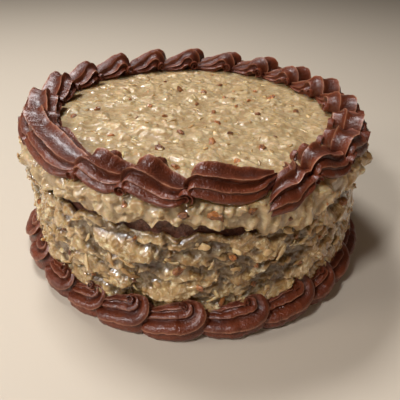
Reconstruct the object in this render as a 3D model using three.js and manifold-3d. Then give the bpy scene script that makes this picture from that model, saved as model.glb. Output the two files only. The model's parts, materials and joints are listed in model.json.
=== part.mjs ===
// A German chocolate cake: a round chocolate sponge, coated with coconut and pecan frosting on its side
// and on its top, with one piped rope of chocolate buttercream round its top edge and one round its foot.
// Millimetres, +Z up. The origin is the middle of the underside, on the surface that the cake rests on.

import * as THREE from 'three';
import { mergeVertices } from 'three/addons/utils/BufferGeometryUtils.js';
import { LoftGeometry } from 'three/addons/geometries/LoftGeometry.js';
import Module from 'manifold-3d';

const wasm = await Module();
wasm.setup();

// ---- Driving dimensions ---------------------------------------------------------------------------

const CAKE_RADIUS = 111.5; // frosted side wall
const CAKE_HEIGHT = 88.9; // flat of the frosted top
const WALL_FROSTING = 4; // mean thickness of the coat on the side
const TOP_FROSTING = 6.6; // and on the top
const STRIP_BOTTOM = 69; // the bare strip of sponge under the overhanging lip
const STRIP_TOP = 75.5;
const GAP = 0.3; // between pieces that touch
const SEAT_GAP = 0.36; // under the top rope, a little more, so that the cut over the edge stays clean
const SMALLEST = 0.02; // slivers thinner than this, left by a cut, are smoothed away

const TOP_UNITS = 20; // piped shells in the top rope
const TOP_ROPE_RADIUS = 100;
const FOOT_UNITS = 21; // and in the foot rope
const TEAR_AZIMUTH = rad(-119); // where the foot rope's end meets its start, in a smaller shell
const SLUMP_AZIMUTH = rad(-72); // the shell of the top rope whose nose has slumped over the edge
const SLUMP_DROP = 12;

const SPONGE_RADIUS = CAKE_RADIUS - WALL_FROSTING;
const SPONGE_HEIGHT = CAKE_HEIGHT - TOP_FROSTING - GAP;
const BORE = SPONGE_RADIUS + GAP; // inside of both coats, round the sponge
const TOLERANCE = 1e-3;

// ---- Helpers --------------------------------------------------------------------------------------

function rad(degrees) {
  return (degrees * Math.PI) / 180;
}

// Seeded random numbers from 0 to 1.
function makeRandom(seed) {
  let state = seed;
  return () => {
    state = (state + 0x6d2b79f5) | 0;
    let t = Math.imul(state ^ (state >>> 15), 1 | state);
    t = (t + Math.imul(t ^ (t >>> 7), 61 | t)) ^ t;
    return ((t ^ (t >>> 14)) >>> 0) / 4294967296;
  };
}

// Smooth noise from -1 to 1 on a lattice of random values that closes round the cake.
function makeNoise(seed, around, across) {
  const random = makeRandom(seed);
  const lattice = Array.from({ length: around * (across + 1) }, () => 2 * random() - 1);
  const at = (i, j) => lattice[(j * around) + (((i % around) + around) % around)];
  const ease = (t) => t * t * (3 - 2 * t);
  return (turn, height) => {
    const x = turn * around;
    const y = THREE.MathUtils.clamp(height, 0, 0.9999) * across;
    const i = Math.floor(x);
    const j = Math.floor(y);
    const low = THREE.MathUtils.lerp(at(i, j), at(i + 1, j), ease(x - i));
    const high = THREE.MathUtils.lerp(at(i, j + 1), at(i + 1, j + 1), ease(x - i));
    return THREE.MathUtils.lerp(low, high, ease(y - j));
  };
}

// A closed three.js geometry as a solid that can be joined and cut.
function solidOf(geometry) {
  const bare = geometry.index ? geometry.toNonIndexed() : geometry.clone();
  bare.deleteAttribute('normal');
  bare.deleteAttribute('uv');
  const merged = mergeVertices(bare, 1e-4);
  const corners = [];
  const index = merged.index.array;
  for (let i = 0; i < index.length; i += 3) {
    const [a, b, c] = [index[i], index[i + 1], index[i + 2]];
    if (a !== b && b !== c && c !== a) corners.push(a, b, c);
  }
  return new wasm.Manifold(
    new wasm.Mesh({
      numProp: 3,
      vertProperties: merged.attributes.position.array,
      triVerts: new Uint32Array(corners),
    }),
  );
}

// The largest closed body of a solid: loose scraps are dropped, and sealed hollows are filled.
function mainBody(solid) {
  const bodies = solid.decompose();
  return bodies.reduce((best, body) => (body.volume() > best.volume() ? body : best));
}

function joined(solids) {
  return solids.reduce((whole, solid) => whole.add(solid));
}

function geometryOf(solid) {
  const mesh = mainBody(mainBody(solid).simplify(SMALLEST)).getMesh();
  const geometry = new THREE.BufferGeometry();
  geometry.setAttribute('position', new THREE.BufferAttribute(mesh.vertProperties, 3));
  geometry.setIndex(new THREE.BufferAttribute(mesh.triVerts, 1));
  geometry.computeVertexNormals();
  return geometry;
}

// A profile of [radius, height] points turned about Z, each point then moved by shift(turn, r, z).
function turned(profile, segments, shift) {
  const points = profile.map(([r, z]) => new THREE.Vector2(r, z));
  const geometry = new THREE.LatheGeometry(points, segments);
  geometry.rotateX(Math.PI / 2);
  const position = geometry.attributes.position;
  for (let i = 0; i < position.count; i++) {
    const x = position.getX(i);
    const y = position.getY(i);
    const r = Math.hypot(x, y);
    if (r < 1e-6) continue;
    const turn = (Math.atan2(y, x) / (2 * Math.PI) + 1) % 1;
    const [radius, height] = shift(turn, r, position.getZ(i));
    position.setXYZ(i, (x / r) * radius, (y / r) * radius, height);
  }
  return solidOf(geometry);
}

function polar(radius, azimuth, z) {
  return new THREE.Vector3(radius * Math.cos(azimuth), radius * Math.sin(azimuth), z);
}

// ---- Frosting relief ------------------------------------------------------------------------------

const WALL_RELIEF = 2.5; // the side coat is lumpy
const TOP_RELIEF = 0.9; // the top coat is nearly level
const ROPE_FOOT = 23; // no relief on the wall below this height, behind the foot rope
const ROPE_INNER = 85; // nor on the top outside this radius, under the top rope

const wallCoarse = makeNoise(11, 34, 6);
const wallFine = makeNoise(12, 70, 13);
const topCoarse = makeNoise(21, 18, 6);
const lipEdge = makeNoise(31, 26, 1);
const lipFine = makeNoise(32, 60, 1);

function wallRadius(turn, z) {
  const shown = THREE.MathUtils.smoothstep(z, ROPE_FOOT, ROPE_FOOT + 7);
  const height = z / STRIP_BOTTOM;
  const lumps = 0.6 * wallCoarse(turn, height) + 0.55 * wallFine(turn, height);
  return CAKE_RADIUS + shown * WALL_RELIEF * lumps;
}

function topHeight(turn, r) {
  const shown = 1 - THREE.MathUtils.smoothstep(r, ROPE_INNER - 9, ROPE_INNER);
  return CAKE_HEIGHT + shown * TOP_RELIEF * topCoarse(turn, r / ROPE_INNER);
}

// How far the lip's edge hangs down: it is ragged, and runs down in two thick drips at the front right. It
// leaves the strip of sponge bare at the front, and hangs lower everywhere else.
const BARE_AZIMUTH = rad(-97);
const BARE_REACH = rad(30);
const BARE_FADE = rad(14);
const LOW_LIP = 4.4;
const DRIPS = [
  { azimuth: rad(-69), width: rad(4.5), drop: 8 },
  { azimuth: rad(-59), width: rad(5), drop: 7 },
];

function angleBetween(azimuth, place) {
  return Math.atan2(Math.sin(azimuth - place), Math.cos(azimuth - place));
}

// 1 at the azimuth of a named place on the ring, falling to 0 on both sides of it.
function nearness(azimuth, place, width) {
  return Math.exp(-((angleBetween(azimuth, place) / width) ** 2));
}

function lipDrop(turn) {
  const azimuth = turn * 2 * Math.PI;
  const ragged = 1.3 * lipEdge(turn, 0) + 0.8 * lipFine(turn, 0);
  const off = Math.abs(angleBetween(azimuth, BARE_AZIMUTH));
  const covered = LOW_LIP * THREE.MathUtils.smoothstep(off, BARE_REACH, BARE_REACH + BARE_FADE);
  return DRIPS.reduce(
    (sum, drip) => sum + drip.drop * nearness(azimuth, drip.azimuth, drip.width),
    ragged + covered,
  );
}

// ---- Pecan pieces and coconut flakes, fused to the frosting ---------------------------------------

const PECAN_SIZE = 3.6; // half length of a chopped piece
const FLAKE_LENGTH = 15;
const FLAKE_WIDTH = 4.2;
const FLAKE_THICKNESS = 1.5;
const GOLDEN_TURN = (3 - Math.sqrt(5)) / 2;

function pecanPiece(random) {
  const geometry = new THREE.IcosahedronGeometry(PECAN_SIZE * (0.75 + 0.5 * random()), 0);
  geometry.rotateX(Math.PI * random());
  geometry.scale(1, 0.72, 0.55);
  geometry.rotateZ(Math.PI * random());
  return geometry;
}

// A thin strip with a wave along its length and one end lifted.
function coconutFlake(random) {
  const length = FLAKE_LENGTH * (0.7 + 0.6 * random());
  const geometry = new THREE.BoxGeometry(length, FLAKE_WIDTH, FLAKE_THICKNESS, 3, 1, 1);
  const position = geometry.attributes.position;
  const lift = 1.2 * random();
  for (let i = 0; i < position.count; i++) {
    const along = position.getX(i) / length;
    const narrow = 1 - 0.9 * along * along;
    position.setY(i, position.getY(i) * narrow + 1.5 * Math.sin(3 * along));
    position.setZ(i, position.getZ(i) + lift * Math.cos(5 * along) + 1.6 * along);
  }
  return geometry;
}

// A bit made lying in XY, with its outward side up, set on the wall or on the top.
function setOnWall(geometry, azimuth, z, radius, tilt) {
  geometry.rotateZ(tilt);
  geometry.rotateX(Math.PI / 2);
  geometry.rotateZ(azimuth + Math.PI / 2);
  const place = polar(radius, azimuth, z);
  geometry.translate(place.x, place.y, place.z);
  return solidOf(geometry);
}

function setOnTop(geometry, azimuth, radius, z, tilt) {
  geometry.rotateZ(tilt);
  const place = polar(radius, azimuth, z);
  geometry.translate(place.x, place.y, place.z);
  return solidOf(geometry);
}

function wallBits({ count, lowest, highest, seed }) {
  const random = makeRandom(seed);
  return Array.from({ length: count }, (_, i) => {
    const turn = (i * GOLDEN_TURN + 0.02 * random()) % 1;
    const z = lowest + ((highest - lowest) * ((i * 0.618) % 1));
    const bit = i % 3 === 0 ? pecanPiece(random) : coconutFlake(random);
    const tilt = rad(-35 + 70 * random());
    return setOnWall(bit, turn * 2 * Math.PI, z, wallRadius(turn, z) + 0.5, tilt);
  });
}

function topBits({ count, reach, seed }) {
  const random = makeRandom(seed);
  return Array.from({ length: count }, (_, i) => {
    const turn = (i * GOLDEN_TURN + 0.03 * random()) % 1;
    const radius = reach * Math.sqrt((i + 0.5) / count);
    const bit = i % 2 === 0 ? pecanPiece(random) : coconutFlake(random);
    return setOnTop(bit, turn * 2 * Math.PI, radius, topHeight(turn, radius) + 0.1, Math.PI * random());
  });
}

// ---- Side frosting --------------------------------------------------------------------------------

const WALL_SEGMENTS = 92;
const WALL_STEP = 5;
const WALL_BITS = { count: 30, lowest: 29, highest: 61, seed: 41 };
const WALL_EDGE = 2; // the wall slopes in by this much at its upper edge
const THINNEST = 0.8; // least thickness of the coat

function wallProfile() {
  const profile = [[BORE, 0], [CAKE_RADIUS, 0], [CAKE_RADIUS, ROPE_FOOT]];
  for (let z = ROPE_FOOT + WALL_STEP; z < STRIP_BOTTOM - WALL_EDGE; z += WALL_STEP) {
    profile.push([CAKE_RADIUS, z]);
  }
  profile.push([CAKE_RADIUS - WALL_EDGE, STRIP_BOTTOM], [BORE, STRIP_BOTTOM]);
  profile.push(profile[0]);
  return profile;
}

function wallCoat() {
  return turned(wallProfile(), WALL_SEGMENTS, (turn, r, z) => {
    if (r < BORE + TOLERANCE) return [r, z];
    return [Math.max(r + wallRadius(turn, z) - CAKE_RADIUS, BORE + THINNEST), z];
  });
}

// ---- Top frosting, with the lip that hangs over the edge -------------------------------------------

const TOP_SEGMENTS = 54;
const TOP_STEP = 10.6;
const TOP_BITS = { count: 14, reach: 74, seed: 43 };
const LIP_RADIUS = 113.2;

// The coat's outline, grown by an outset where it serves as a cutter.
function topProfile(outset) {
  const profile = [[0, SPONGE_HEIGHT + GAP], [BORE, SPONGE_HEIGHT + GAP]];
  profile.push([BORE, STRIP_TOP - outset]);
  profile.push([LIP_RADIUS - 4, STRIP_TOP - 0.6 - outset]);
  profile.push([LIP_RADIUS - 0.6 + outset, STRIP_TOP + 1.6]);
  profile.push([LIP_RADIUS + outset, CAKE_HEIGHT - 7.5]);
  profile.push([LIP_RADIUS - 1.5 + outset, CAKE_HEIGHT - 2.6]);
  profile.push([LIP_RADIUS - 5, CAKE_HEIGHT + outset]);
  for (let r = ROPE_INNER; r > TOP_STEP / 2; r -= TOP_STEP) profile.push([r, CAKE_HEIGHT + outset]);
  profile.push([0, CAKE_HEIGHT + outset]);
  return profile;
}

function topCoat(outset) {
  return turned(topProfile(outset), TOP_SEGMENTS, (turn, r, z) => {
    const bulge = r > SPONGE_RADIUS + 1 ? 0.8 * lipEdge(turn, 0) : 0;
    if (z > CAKE_HEIGHT - 0.1) return [r, z + topHeight(turn, r) - CAKE_HEIGHT];
    if (z > CAKE_HEIGHT - 4) return [r, z];
    if (r < SPONGE_RADIUS + 1 || z > CAKE_HEIGHT - 9) return [r + bulge, z];
    return [r + bulge, z - lipDrop(turn)];
  });
}

// ---- Piped ropes ----------------------------------------------------------------------------------

// One shell of a rope, from its nose at t = 0 to its tail. A star nozzle makes it, so it has ridges with a
// hollow between each two. ridges holds each one's [distance out from the ring, height], from the outer low
// one over the top to the inner one, and base is where it stands. lean pushes the crest back over the tail
// before it. The top shells start fat, curl up and over, swing outward and are pulled out to a low tail.
const TOP_SHELL = [
  { t: 0.03, lean: 5, base: [[5, 0], [-7.5, 0]], ridges:
    [[9.6, 4.4], [9.4, 9.4], [4.2, 12.4], [-3, 12.6], [-8.6, 8.6], [-10, 3.4]] },
  { t: 0.2, lean: 2, base: [[6, 0], [-9, 0]], ridges:
    [[10.4, 6.4], [7.8, 12], [1.4, 15.4], [-5, 16.4], [-10.6, 11.4], [-12.2, 5]] },
  { t: 0.35, lean: 0, base: [[6.6, 0], [-9, 0]], ridges:
    [[11, 6.4], [7.6, 11.4], [1.2, 14], [-5.4, 14.8], [-10.6, 10], [-12.4, 4.4]] },
  { t: 0.54, lean: 0, base: [[8, 0], [-9, 0]], ridges:
    [[12.4, 4.8], [9.4, 8.2], [-0.4, 10.4], [-5.6, 10.6], [-10, 7.2], [-11.6, 3]] },
  { t: 0.76, lean: 0, base: [[10.4, 0], [-9, 0]], ridges:
    [[13.6, 2.2], [11.4, 4.8], [-1.6, 7.6], [-6.6, 7], [-10, 4.6], [-11, 1.8]] },
  { t: 0.92, lean: 2, base: [[8, 0], [-8, 0]], ridges:
    [[11.4, 2.6], [9.4, 4.4], [-2.8, 6.8], [-6.8, 5.8], [-9.4, 3.8], [-10, 1.6]] },
];
const TOP_HOLLOWS = [1.2, 2, 1.4, 1.6, 1.2];

// The foot shells start at the wall, swing out and round, and are pulled out to a thin tail.
const FOOT_SHELL = [
  { t: 0, lean: 1, base: [[5, 0], [0, 0]], ridges: [[6, 2], [8, 11], [3.6, 16], [1.6, 18.6], [0.4, 19.6]] },
  { t: 0.14, lean: 0, base: [[7.4, 0], [0, 0]], ridges:
    [[8.4, 1.4], [10.4, 12], [4.8, 17.8], [2, 20.8], [0.4, 22.2]] },
  { t: 0.4, lean: 0, base: [[8.4, 0], [0, 0]], ridges:
    [[9.4, 1.2], [11.6, 11.2], [5, 17.8], [2, 20.8], [0.4, 22.4]] },
  { t: 0.62, lean: 0, base: [[8.2, 0], [0, 0]], ridges:
    [[9, 1.2], [11, 10.6], [4.6, 16.8], [1.7, 19.2], [0.4, 20.6]] },
  { t: 0.84, lean: 1, base: [[6.8, 0], [0, 0]], ridges:
    [[7.8, 1.2], [9.6, 9], [3.6, 14.8], [1.4, 16.6], [0.4, 17.6]] },
];
const FOOT_HOLLOWS = [1.8, 1.3, 0.8, 0.5];

const EDGE_OUT = CAKE_RADIUS - TOP_ROPE_RADIUS; // the cake's edge, from the top rope's ring
const SLUMP_OUT = 5; // a slumped nose hangs this far outside the edge
const SLUMP_LENGTH = 0.6; // share of its shell that it takes
const SLUMP_PULLS = [1, 0.45]; // how far the first two ridges go with it

// A cross-section in [out, up]: the ridges, with a hollow between each two, and then the base.
function starSection(key, hollows, size) {
  const section = [];
  key.ridges.forEach(([out, up], i) => {
    section.push([out, up * size]);
    if (i === hollows.length) return;
    const [nextOut, nextUp] = key.ridges[i + 1];
    const run = [nextOut - out, (nextUp - up) * size];
    const dip = hollows[i] / Math.hypot(...run);
    section.push([out + run[0] / 2 - run[1] * dip, up * size + run[1] / 2 + run[0] * dip]);
  });
  return [...section, key.base[1], key.base[0]];
}

// Where a shell has slumped, its outer ridges hang over the cake's edge.
function slumped(key, share) {
  const ridges = key.ridges.map(([out, up], i) => {
    const hang = share * (SLUMP_PULLS[i] ?? 0);
    return [
      THREE.MathUtils.lerp(out, EDGE_OUT + SLUMP_OUT, hang),
      THREE.MathUtils.lerp(up, -SLUMP_DROP, hang),
    ];
  });
  return { ...key, ridges };
}

// Shells laid end to end round a ring. starts holds each nose's azimuth, in the order of piping.
function pipedRope(rope) {
  const random = makeRandom(rope.seed);
  const travel = Math.sign(rope.starts[1] - rope.starts[0]);
  const rows = [];
  rope.starts.forEach((start, i) => {
    const end = rope.starts[i + 1] ?? rope.starts[0] + travel * 2 * Math.PI;
    const size = (0.96 + 0.08 * random()) * rope.sizeAt(start);
    for (const key of rope.shell) {
      const azimuth = THREE.MathUtils.lerp(start, end, key.t);
      const slump = rope.slumpAt(start) * (1 - THREE.MathUtils.smoothstep(key.t, 0, SLUMP_LENGTH));
      const crest = Math.max(...key.ridges.map(([, up]) => up)) * size;
      const section = starSection(slumped(key, slump), rope.hollows, size).map(([out, up]) => {
        const back = (travel * key.lean * Math.max(up, 0)) / crest / rope.ring;
        return polar(rope.ring + out, azimuth - back, rope.base + up);
      });
      rows.push(travel > 0 ? section.reverse() : section);
    }
  });
  rows.push(rows[0]);
  return solidOf(new LoftGeometry(rows));
}

// Azimuths from first, in degrees, that fill the rest of the ring with equal shells.
function withEvenRest(shown, total) {
  const starts = shown.map(rad);
  const travel = Math.sign(starts[1] - starts[0]);
  const last = starts[starts.length - 1];
  const rest = starts[0] + travel * 2 * Math.PI - last;
  const missing = total - starts.length + 1;
  for (let i = 1; i < missing; i++) starts.push(last + (rest * i) / missing);
  return starts;
}

// ---- The five pieces ------------------------------------------------------------------------------

function sponge() {
  const edge = 2;
  const profile = [
    [0, 0],
    [SPONGE_RADIUS, 0],
    [SPONGE_RADIUS, SPONGE_HEIGHT - edge],
    [SPONGE_RADIUS - edge, SPONGE_HEIGHT],
    [0, SPONGE_HEIGHT],
  ];
  return turned(profile, WALL_SEGMENTS, (turn, r, z) => [r, z]);
}

function sideFrosting() {
  const bits = wallBits(WALL_BITS);
  const core = turned(
    [[0, -1], [BORE, -1], [BORE, STRIP_TOP], [0, STRIP_TOP]],
    WALL_SEGMENTS,
    (turn, r, z) => [r, z],
  );
  return joined([wallCoat(), ...bits]).subtract(core).subtract(topCoat(GAP));
}

function topFrosting() {
  const bits = topBits(TOP_BITS);
  return joined([topCoat(0), ...bits]);
}

// Noses at the front, where the shells differ most in length; the rest of each rope is even.
const TOP_FRONT = [-166, -150, -120, -106, -92, -72, -57, -40];
const FOOT_FRONT = [-24, -38, -49, -65.5, -84, -99.5, -113, -125, -141.5, -155];

function topRope() {
  const rope = pipedRope({
    shell: TOP_SHELL,
    hollows: TOP_HOLLOWS,
    ring: TOP_ROPE_RADIUS,
    base: CAKE_HEIGHT + SEAT_GAP,
    starts: withEvenRest(TOP_FRONT, TOP_UNITS),
    sizeAt: () => 1,
    slumpAt: (start) => nearness(start, SLUMP_AZIMUTH, rad(3)),
    seed: 51,
  });
  return rope.subtract(topCoat(GAP));
}

function footRope() {
  return pipedRope({
    shell: FOOT_SHELL,
    hollows: FOOT_HOLLOWS,
    ring: CAKE_RADIUS + GAP,
    base: 0,
    starts: withEvenRest(FOOT_FRONT, FOOT_UNITS),
    sizeAt: (start) => 1 - 0.2 * nearness(start, TEAR_AZIMUTH, rad(7)),
    slumpAt: () => 0,
    seed: 52,
  });
}

const chocolate = { color: 0x5a3226, roughness: 0.45, metalness: 0 };
const coconut = { color: 0xc4a86c, roughness: 0.4, metalness: 0 };

const cake = new THREE.Group();
const PIECES = [
  ['sponge', sponge, { color: 0x2c1a12, roughness: 0.8, metalness: 0 }],
  ['side_frosting', sideFrosting, coconut],
  ['top_frosting', topFrosting, coconut],
  ['top_rope', topRope, chocolate],
  ['foot_rope', footRope, chocolate],
];
for (const [name, make, finish] of PIECES) {
  const mesh = new THREE.Mesh(geometryOf(make()), new THREE.MeshStandardMaterial(finish));
  mesh.name = name;
  cake.add(mesh);
}

export default cake;
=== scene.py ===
"""The looks of a whole German chocolate cake, built round its CAD frame.

A chocolate sponge shows as a dark strip under the lip of the top coat. The side and the top are coated with
cooked coconut and pecan frosting. One rope of chocolate buttercream is piped round the top edge, and one
round the foot. Sizes are in millimetres in the classes and in metres in Blender, +Z up, -Y to the front.
"""

import json
import logging
import math
from dataclasses import dataclass, field, replace
from enum import Enum
from typing import Sequence

import bmesh
import bpy
import numpy as np
from mathutils import Matrix, Vector

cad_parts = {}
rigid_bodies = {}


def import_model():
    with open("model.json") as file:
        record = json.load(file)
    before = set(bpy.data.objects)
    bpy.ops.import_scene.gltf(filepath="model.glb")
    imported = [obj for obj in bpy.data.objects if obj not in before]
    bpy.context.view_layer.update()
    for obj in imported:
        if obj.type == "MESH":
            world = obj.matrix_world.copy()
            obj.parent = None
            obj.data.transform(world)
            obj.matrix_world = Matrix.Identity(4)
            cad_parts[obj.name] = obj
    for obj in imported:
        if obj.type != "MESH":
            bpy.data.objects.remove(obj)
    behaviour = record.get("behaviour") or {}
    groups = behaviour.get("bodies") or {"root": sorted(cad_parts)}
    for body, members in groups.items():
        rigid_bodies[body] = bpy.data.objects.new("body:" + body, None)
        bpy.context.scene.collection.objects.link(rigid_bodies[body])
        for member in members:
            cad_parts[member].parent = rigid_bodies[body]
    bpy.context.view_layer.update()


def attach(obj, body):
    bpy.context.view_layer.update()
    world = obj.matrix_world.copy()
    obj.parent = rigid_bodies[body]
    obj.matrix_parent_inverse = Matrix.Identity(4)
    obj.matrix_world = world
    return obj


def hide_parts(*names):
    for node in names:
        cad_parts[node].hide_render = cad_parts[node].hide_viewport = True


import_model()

Array = np.ndarray
Material = bpy.types.Material
Mesh = bpy.types.Mesh
Piece = bpy.types.Object
Socket = bpy.types.NodeSocket
Tree = bpy.types.NodeTree
TreeNode = bpy.types.Node

LOG = logging.getLogger("cake")
MM = 0.001
PER_METRE = 1000.0
TAU = 2 * math.pi
WORD = 0xFFFFFFFF

# The cake's own sizes in mm, as its solids have them.
CAKE_RADIUS = 111.5
CAKE_HEIGHT = 88.9
SPONGE_RADIUS = 107.5
SPONGE_HEIGHT = 82.0
STRIP_BOTTOM = 69.0
STRIP_TOP = 75.5
GAP = 0.3
SEAT_GAP = 0.36
BORE = SPONGE_RADIUS + GAP
LIP_RADIUS = 113.2
ROPE_FOOT = 23.0
ROPE_INNER = 85.0
WALL_RELIEF = 2.5
TOP_RELIEF = 0.9
TOP_RING = 100.0
FOOT_RING = CAKE_RADIUS + GAP

# Noise in space: a cell's hash, and how much finer and weaker each further layer is.
HASH_STEPS = np.array([374761393, 668265263, 2147483647])
HASH_SEED = 974634777
HASH_MIX = 1274126177
HASH_SPAN = 0xFFFF
NOISE_START = 1000
LAYER_FINER = 2.1
LAYER_WEAKER = 1.9

# Just under and just over one cell, so that the last cell's far side is never passed.
UNDER_ONE = 0.9999
OVER_ONE = 1.001

# The piping's crest mark, painted shade in grooves and painted highlight on ridges: its value in a flat
# band, and the depth of groove, in mm, where it is 0.
CALM = 0.35
FULL_GROOVE = 2.4

# Places of the points across a band, a band's least width in mm, and how much of a ridge's painted highlight
# the points beside it take.
BAND_SHARES = np.array([0, 0.05, 0.18, 0.36, 0.54, 0.7, 0.84, 0.95])
TINY = 1e-6
BESIDE_RIDGE = 0.4

# The unevenness of the ridges: its grain in mm, its steps between ridges, directions and shells, and its
# step for each radian of a nose's curl.
RIDGE_GRAIN = 3.0
RIDGE_STEPS = (40.0, 9.0, 7.0)
CURL_STEP = 7.0

# The curl of a nose: where it starts to narrow and how quickly, and its least height and reach.
NARROW_FROM = 0.9
NARROW_POWER = 0.8
LEAST_TALL = 0.45
LEAST_REACH = 0.2

# Along a shell, as shares of its length: where its hang, tail, back and lag change.
HANG_SPAN = (0.1, 0.75)
SWING_SPAN = (0.35, 1.0)
LIFT_SPAN = (0.2, 0.6)
LAG_SPAN = (0.0, 0.7)

# In mm: how far a tail runs under the next nose, the height by which a back is free, and the least height.
TAIL_OVERLAP = 4.0
FREE_HEIGHT = 3.0
LEAST_HEIGHT = 0.2

# The torn shell: how much smaller it is, and how many degrees round it are.
TORN_SHARE = 0.2
TORN_WIDTH = 7.0

# The sockets that a colour Mix node uses: its factor and two colours, and its result.
MIX_INPUTS = (0, 6, 7)
MIX_RESULT = 2

# The curve between screen values and linear light.
SCREEN_TOE = 0.04045
SCREEN_SLOPE = 12.92
SCREEN_OFFSET = 0.055
SCREEN_POWER = 2.4


class Slot(str, Enum):
    """The record's material slots."""

    SPONGE = "sponge"
    FROSTING = "coconut_frosting"
    BUTTERCREAM = "buttercream"


class Node(str, Enum):
    """The solids that the pieces here stand for."""

    SPONGE = "sponge"
    SIDE = "side_frosting"
    TOP = "top_frosting"
    TOP_ROPE = "top_rope"
    FOOT_ROPE = "foot_rope"


# ---- Random numbers and noise ------------------------------------------------------------------------


class SeededRandom:
    """Random numbers from 0 to 1, in the same order as the solids' own."""

    STRIDE = 0x6D2B79F5
    ODD = 61
    SHIFTS = (15, 7, 14)

    def __init__(self, seed: int) -> None:
        """Starts the series at a seed."""
        self.state = seed

    def __call__(self) -> float:
        """Returns the next number."""
        first, second, third = self.SHIFTS
        self.state = (self.state + self.STRIDE) & WORD
        word = ((self.state ^ (self.state >> first)) * (1 | self.state)) & WORD
        word = ((word + (((word ^ (word >> second)) * (self.ODD | word)) & WORD)) & WORD) ^ word
        return (word ^ (word >> third)) / (WORD + 1)

    def within(self, low: float, high: float) -> float:
        """Returns the next number, spread from low to high."""
        return low + (high - low) * self()


class RingNoise:
    """Smooth noise from -1 to 1 on a lattice that closes round the cake, as the solids' relief has it."""

    def __init__(self, seed: int, around: int, across: int) -> None:
        """Fills the lattice.

        Args:
            seed: Start of its random numbers.
            around: Cells round the cake.
            across: Cells over the height.
        """
        random = SeededRandom(seed)
        values = [2 * random() - 1 for _ in range(around * (across + 1))]
        self.lattice = np.array(values).reshape(across + 1, around)
        self.around = around
        self.across = across

    def at(self, turn: Array, height: Array | float) -> Array:
        """Reads the noise.

        Args:
            turn: Share of a full turn.
            height: Share of the height, from 0 to 1.

        Returns:
            The noise at each place.
        """
        x = np.asarray(turn) * self.around
        y = np.clip(height, 0, UNDER_ONE) * self.across
        i = np.floor(x).astype(int)
        j = np.floor(y).astype(int)
        fx = ease(x - i)
        fy = ease(y - j)
        a = self.lattice[j, i % self.around]
        b = self.lattice[j, (i + 1) % self.around]
        c = self.lattice[j + 1, i % self.around]
        d = self.lattice[j + 1, (i + 1) % self.around]
        return (a + (b - a) * fx) * (1 - fy) + (c + (d - c) * fx) * fy


def ease(t: Array) -> Array:
    """Returns t eased in and out."""
    return t * t * (3 - 2 * t)


def smoothstep(value: Array, low: float, high: float) -> Array:
    """Returns 0 below low and 1 above high, with an eased rise between."""
    return ease(np.clip((np.asarray(value, float) - low) / (high - low), 0, 1))


def solid_noise(points: Array, grain: float, seed: int) -> Array:
    """Smooth noise in space, from -1 to 1.

    Args:
        points: Rows of x, y, z.
        grain: Size of a cell.
        seed: Picks the pattern.

    Returns:
        The noise at each point.
    """
    place = np.asarray(points, float) / grain + NOISE_START
    cell = np.floor(place).astype(np.int64)
    part = ease(place - cell)
    total = np.zeros(len(place))
    for corner in range(8):
        step = np.array([corner & 1, (corner >> 1) & 1, (corner >> 2) & 1])
        word = ((cell + step) @ HASH_STEPS + seed * HASH_SEED) & WORD
        word = ((word ^ (word >> 13)) * HASH_MIX) & WORD
        value = ((word ^ (word >> 16)) & HASH_SPAN) / (0.5 * HASH_SPAN) - 1
        total += value * np.prod(np.where(step, part, 1 - part), axis=1)
    return total


def layered_noise(points: Array, grain: float, seed: int, layers: int = 3) -> Array:
    """Returns solid noise with finer and weaker layers added."""
    total = np.zeros(len(points))
    for i in range(layers):
        total += solid_noise(points, grain / LAYER_FINER**i, seed + i) / LAYER_WEAKER**i
    return total


def ragged_edge(turn: Array, waves: Sequence[tuple]) -> Array:
    """Returns an uneven edge's height round the ring, from each wave's depth, seed and number of cells."""
    return sum(depth * RingNoise(seed, around, 1).at(turn, 0) for depth, seed, around in waves)


def apart(azimuth: Array | float, place: float) -> Array:
    """Returns how far an azimuth lies past a place, from -180 to 180 degrees."""
    return (np.asarray(azimuth, float) - place + 180) % 360 - 180


def nearness(azimuth: Array | float, place: float, width: float) -> Array:
    """Returns 1 at a place on the ring, falling to 0 on both sides; all in degrees."""
    return np.exp(-((apart(azimuth, place) / width) ** 2))


# ---- Meshes ------------------------------------------------------------------------------------------


def polar(radius: Array | float, azimuth: Array, height: Array | float) -> Array:
    """Returns rows of x, y, z from a radius, an azimuth in radians and a height."""
    return np.stack([radius * np.cos(azimuth), radius * np.sin(azimuth), height + 0 * azimuth], axis=-1)


def make_mesh(name: str, points: Array, faces: Sequence, marks: dict[str, Array]) -> Mesh:
    """Makes a mesh from millimetre points.

    Args:
        name: Its name.
        points: Rows of x, y, z in millimetres.
        faces: Corner numbers of each face.
        marks: Named values, one for each point.

    Returns:
        The mesh, shaded smooth.
    """
    mesh = bpy.data.meshes.new(name)
    mesh.from_pydata((np.asarray(points) * MM).tolist(), [], [tuple(map(int, f)) for f in faces])
    for mark, values in marks.items():
        layer = mesh.attributes.new(mark, "FLOAT", "POINT")
        layer.data.foreach_set("value", np.asarray(values, np.float32))
    mesh.polygons.foreach_set("use_smooth", [True] * len(mesh.polygons))
    mesh.update()
    return mesh


def place(name: str, mesh: Mesh) -> Piece:
    """Puts a mesh in the scene as an object at the origin."""
    piece = bpy.data.objects.new(name, mesh)
    bpy.context.scene.collection.objects.link(piece)
    return piece


def finished(name: str, points: Array, faces: Sequence, material: Material, **marks: Array) -> Piece:
    """Returns a piece in the scene, made from millimetre points, with its finish and its named values."""
    piece = place(name, make_mesh(name, points, faces, marks))
    piece.data.materials.append(material)
    return piece


def stack_rows(rows: Sequence[tuple]) -> list[Array]:
    """Joins rows of points that carry values.

    Args:
        rows: For each row its points and its values. A plain number is the value of the whole row.

    Returns:
        All points, and then each value for all of them.
    """
    points = np.concatenate([row[0] for row in rows])
    values = [[np.broadcast_to(value, len(row[0])) for value in row[1:]] for row in rows]
    return [points, *(np.concatenate(part) for part in zip(*values))]


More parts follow.
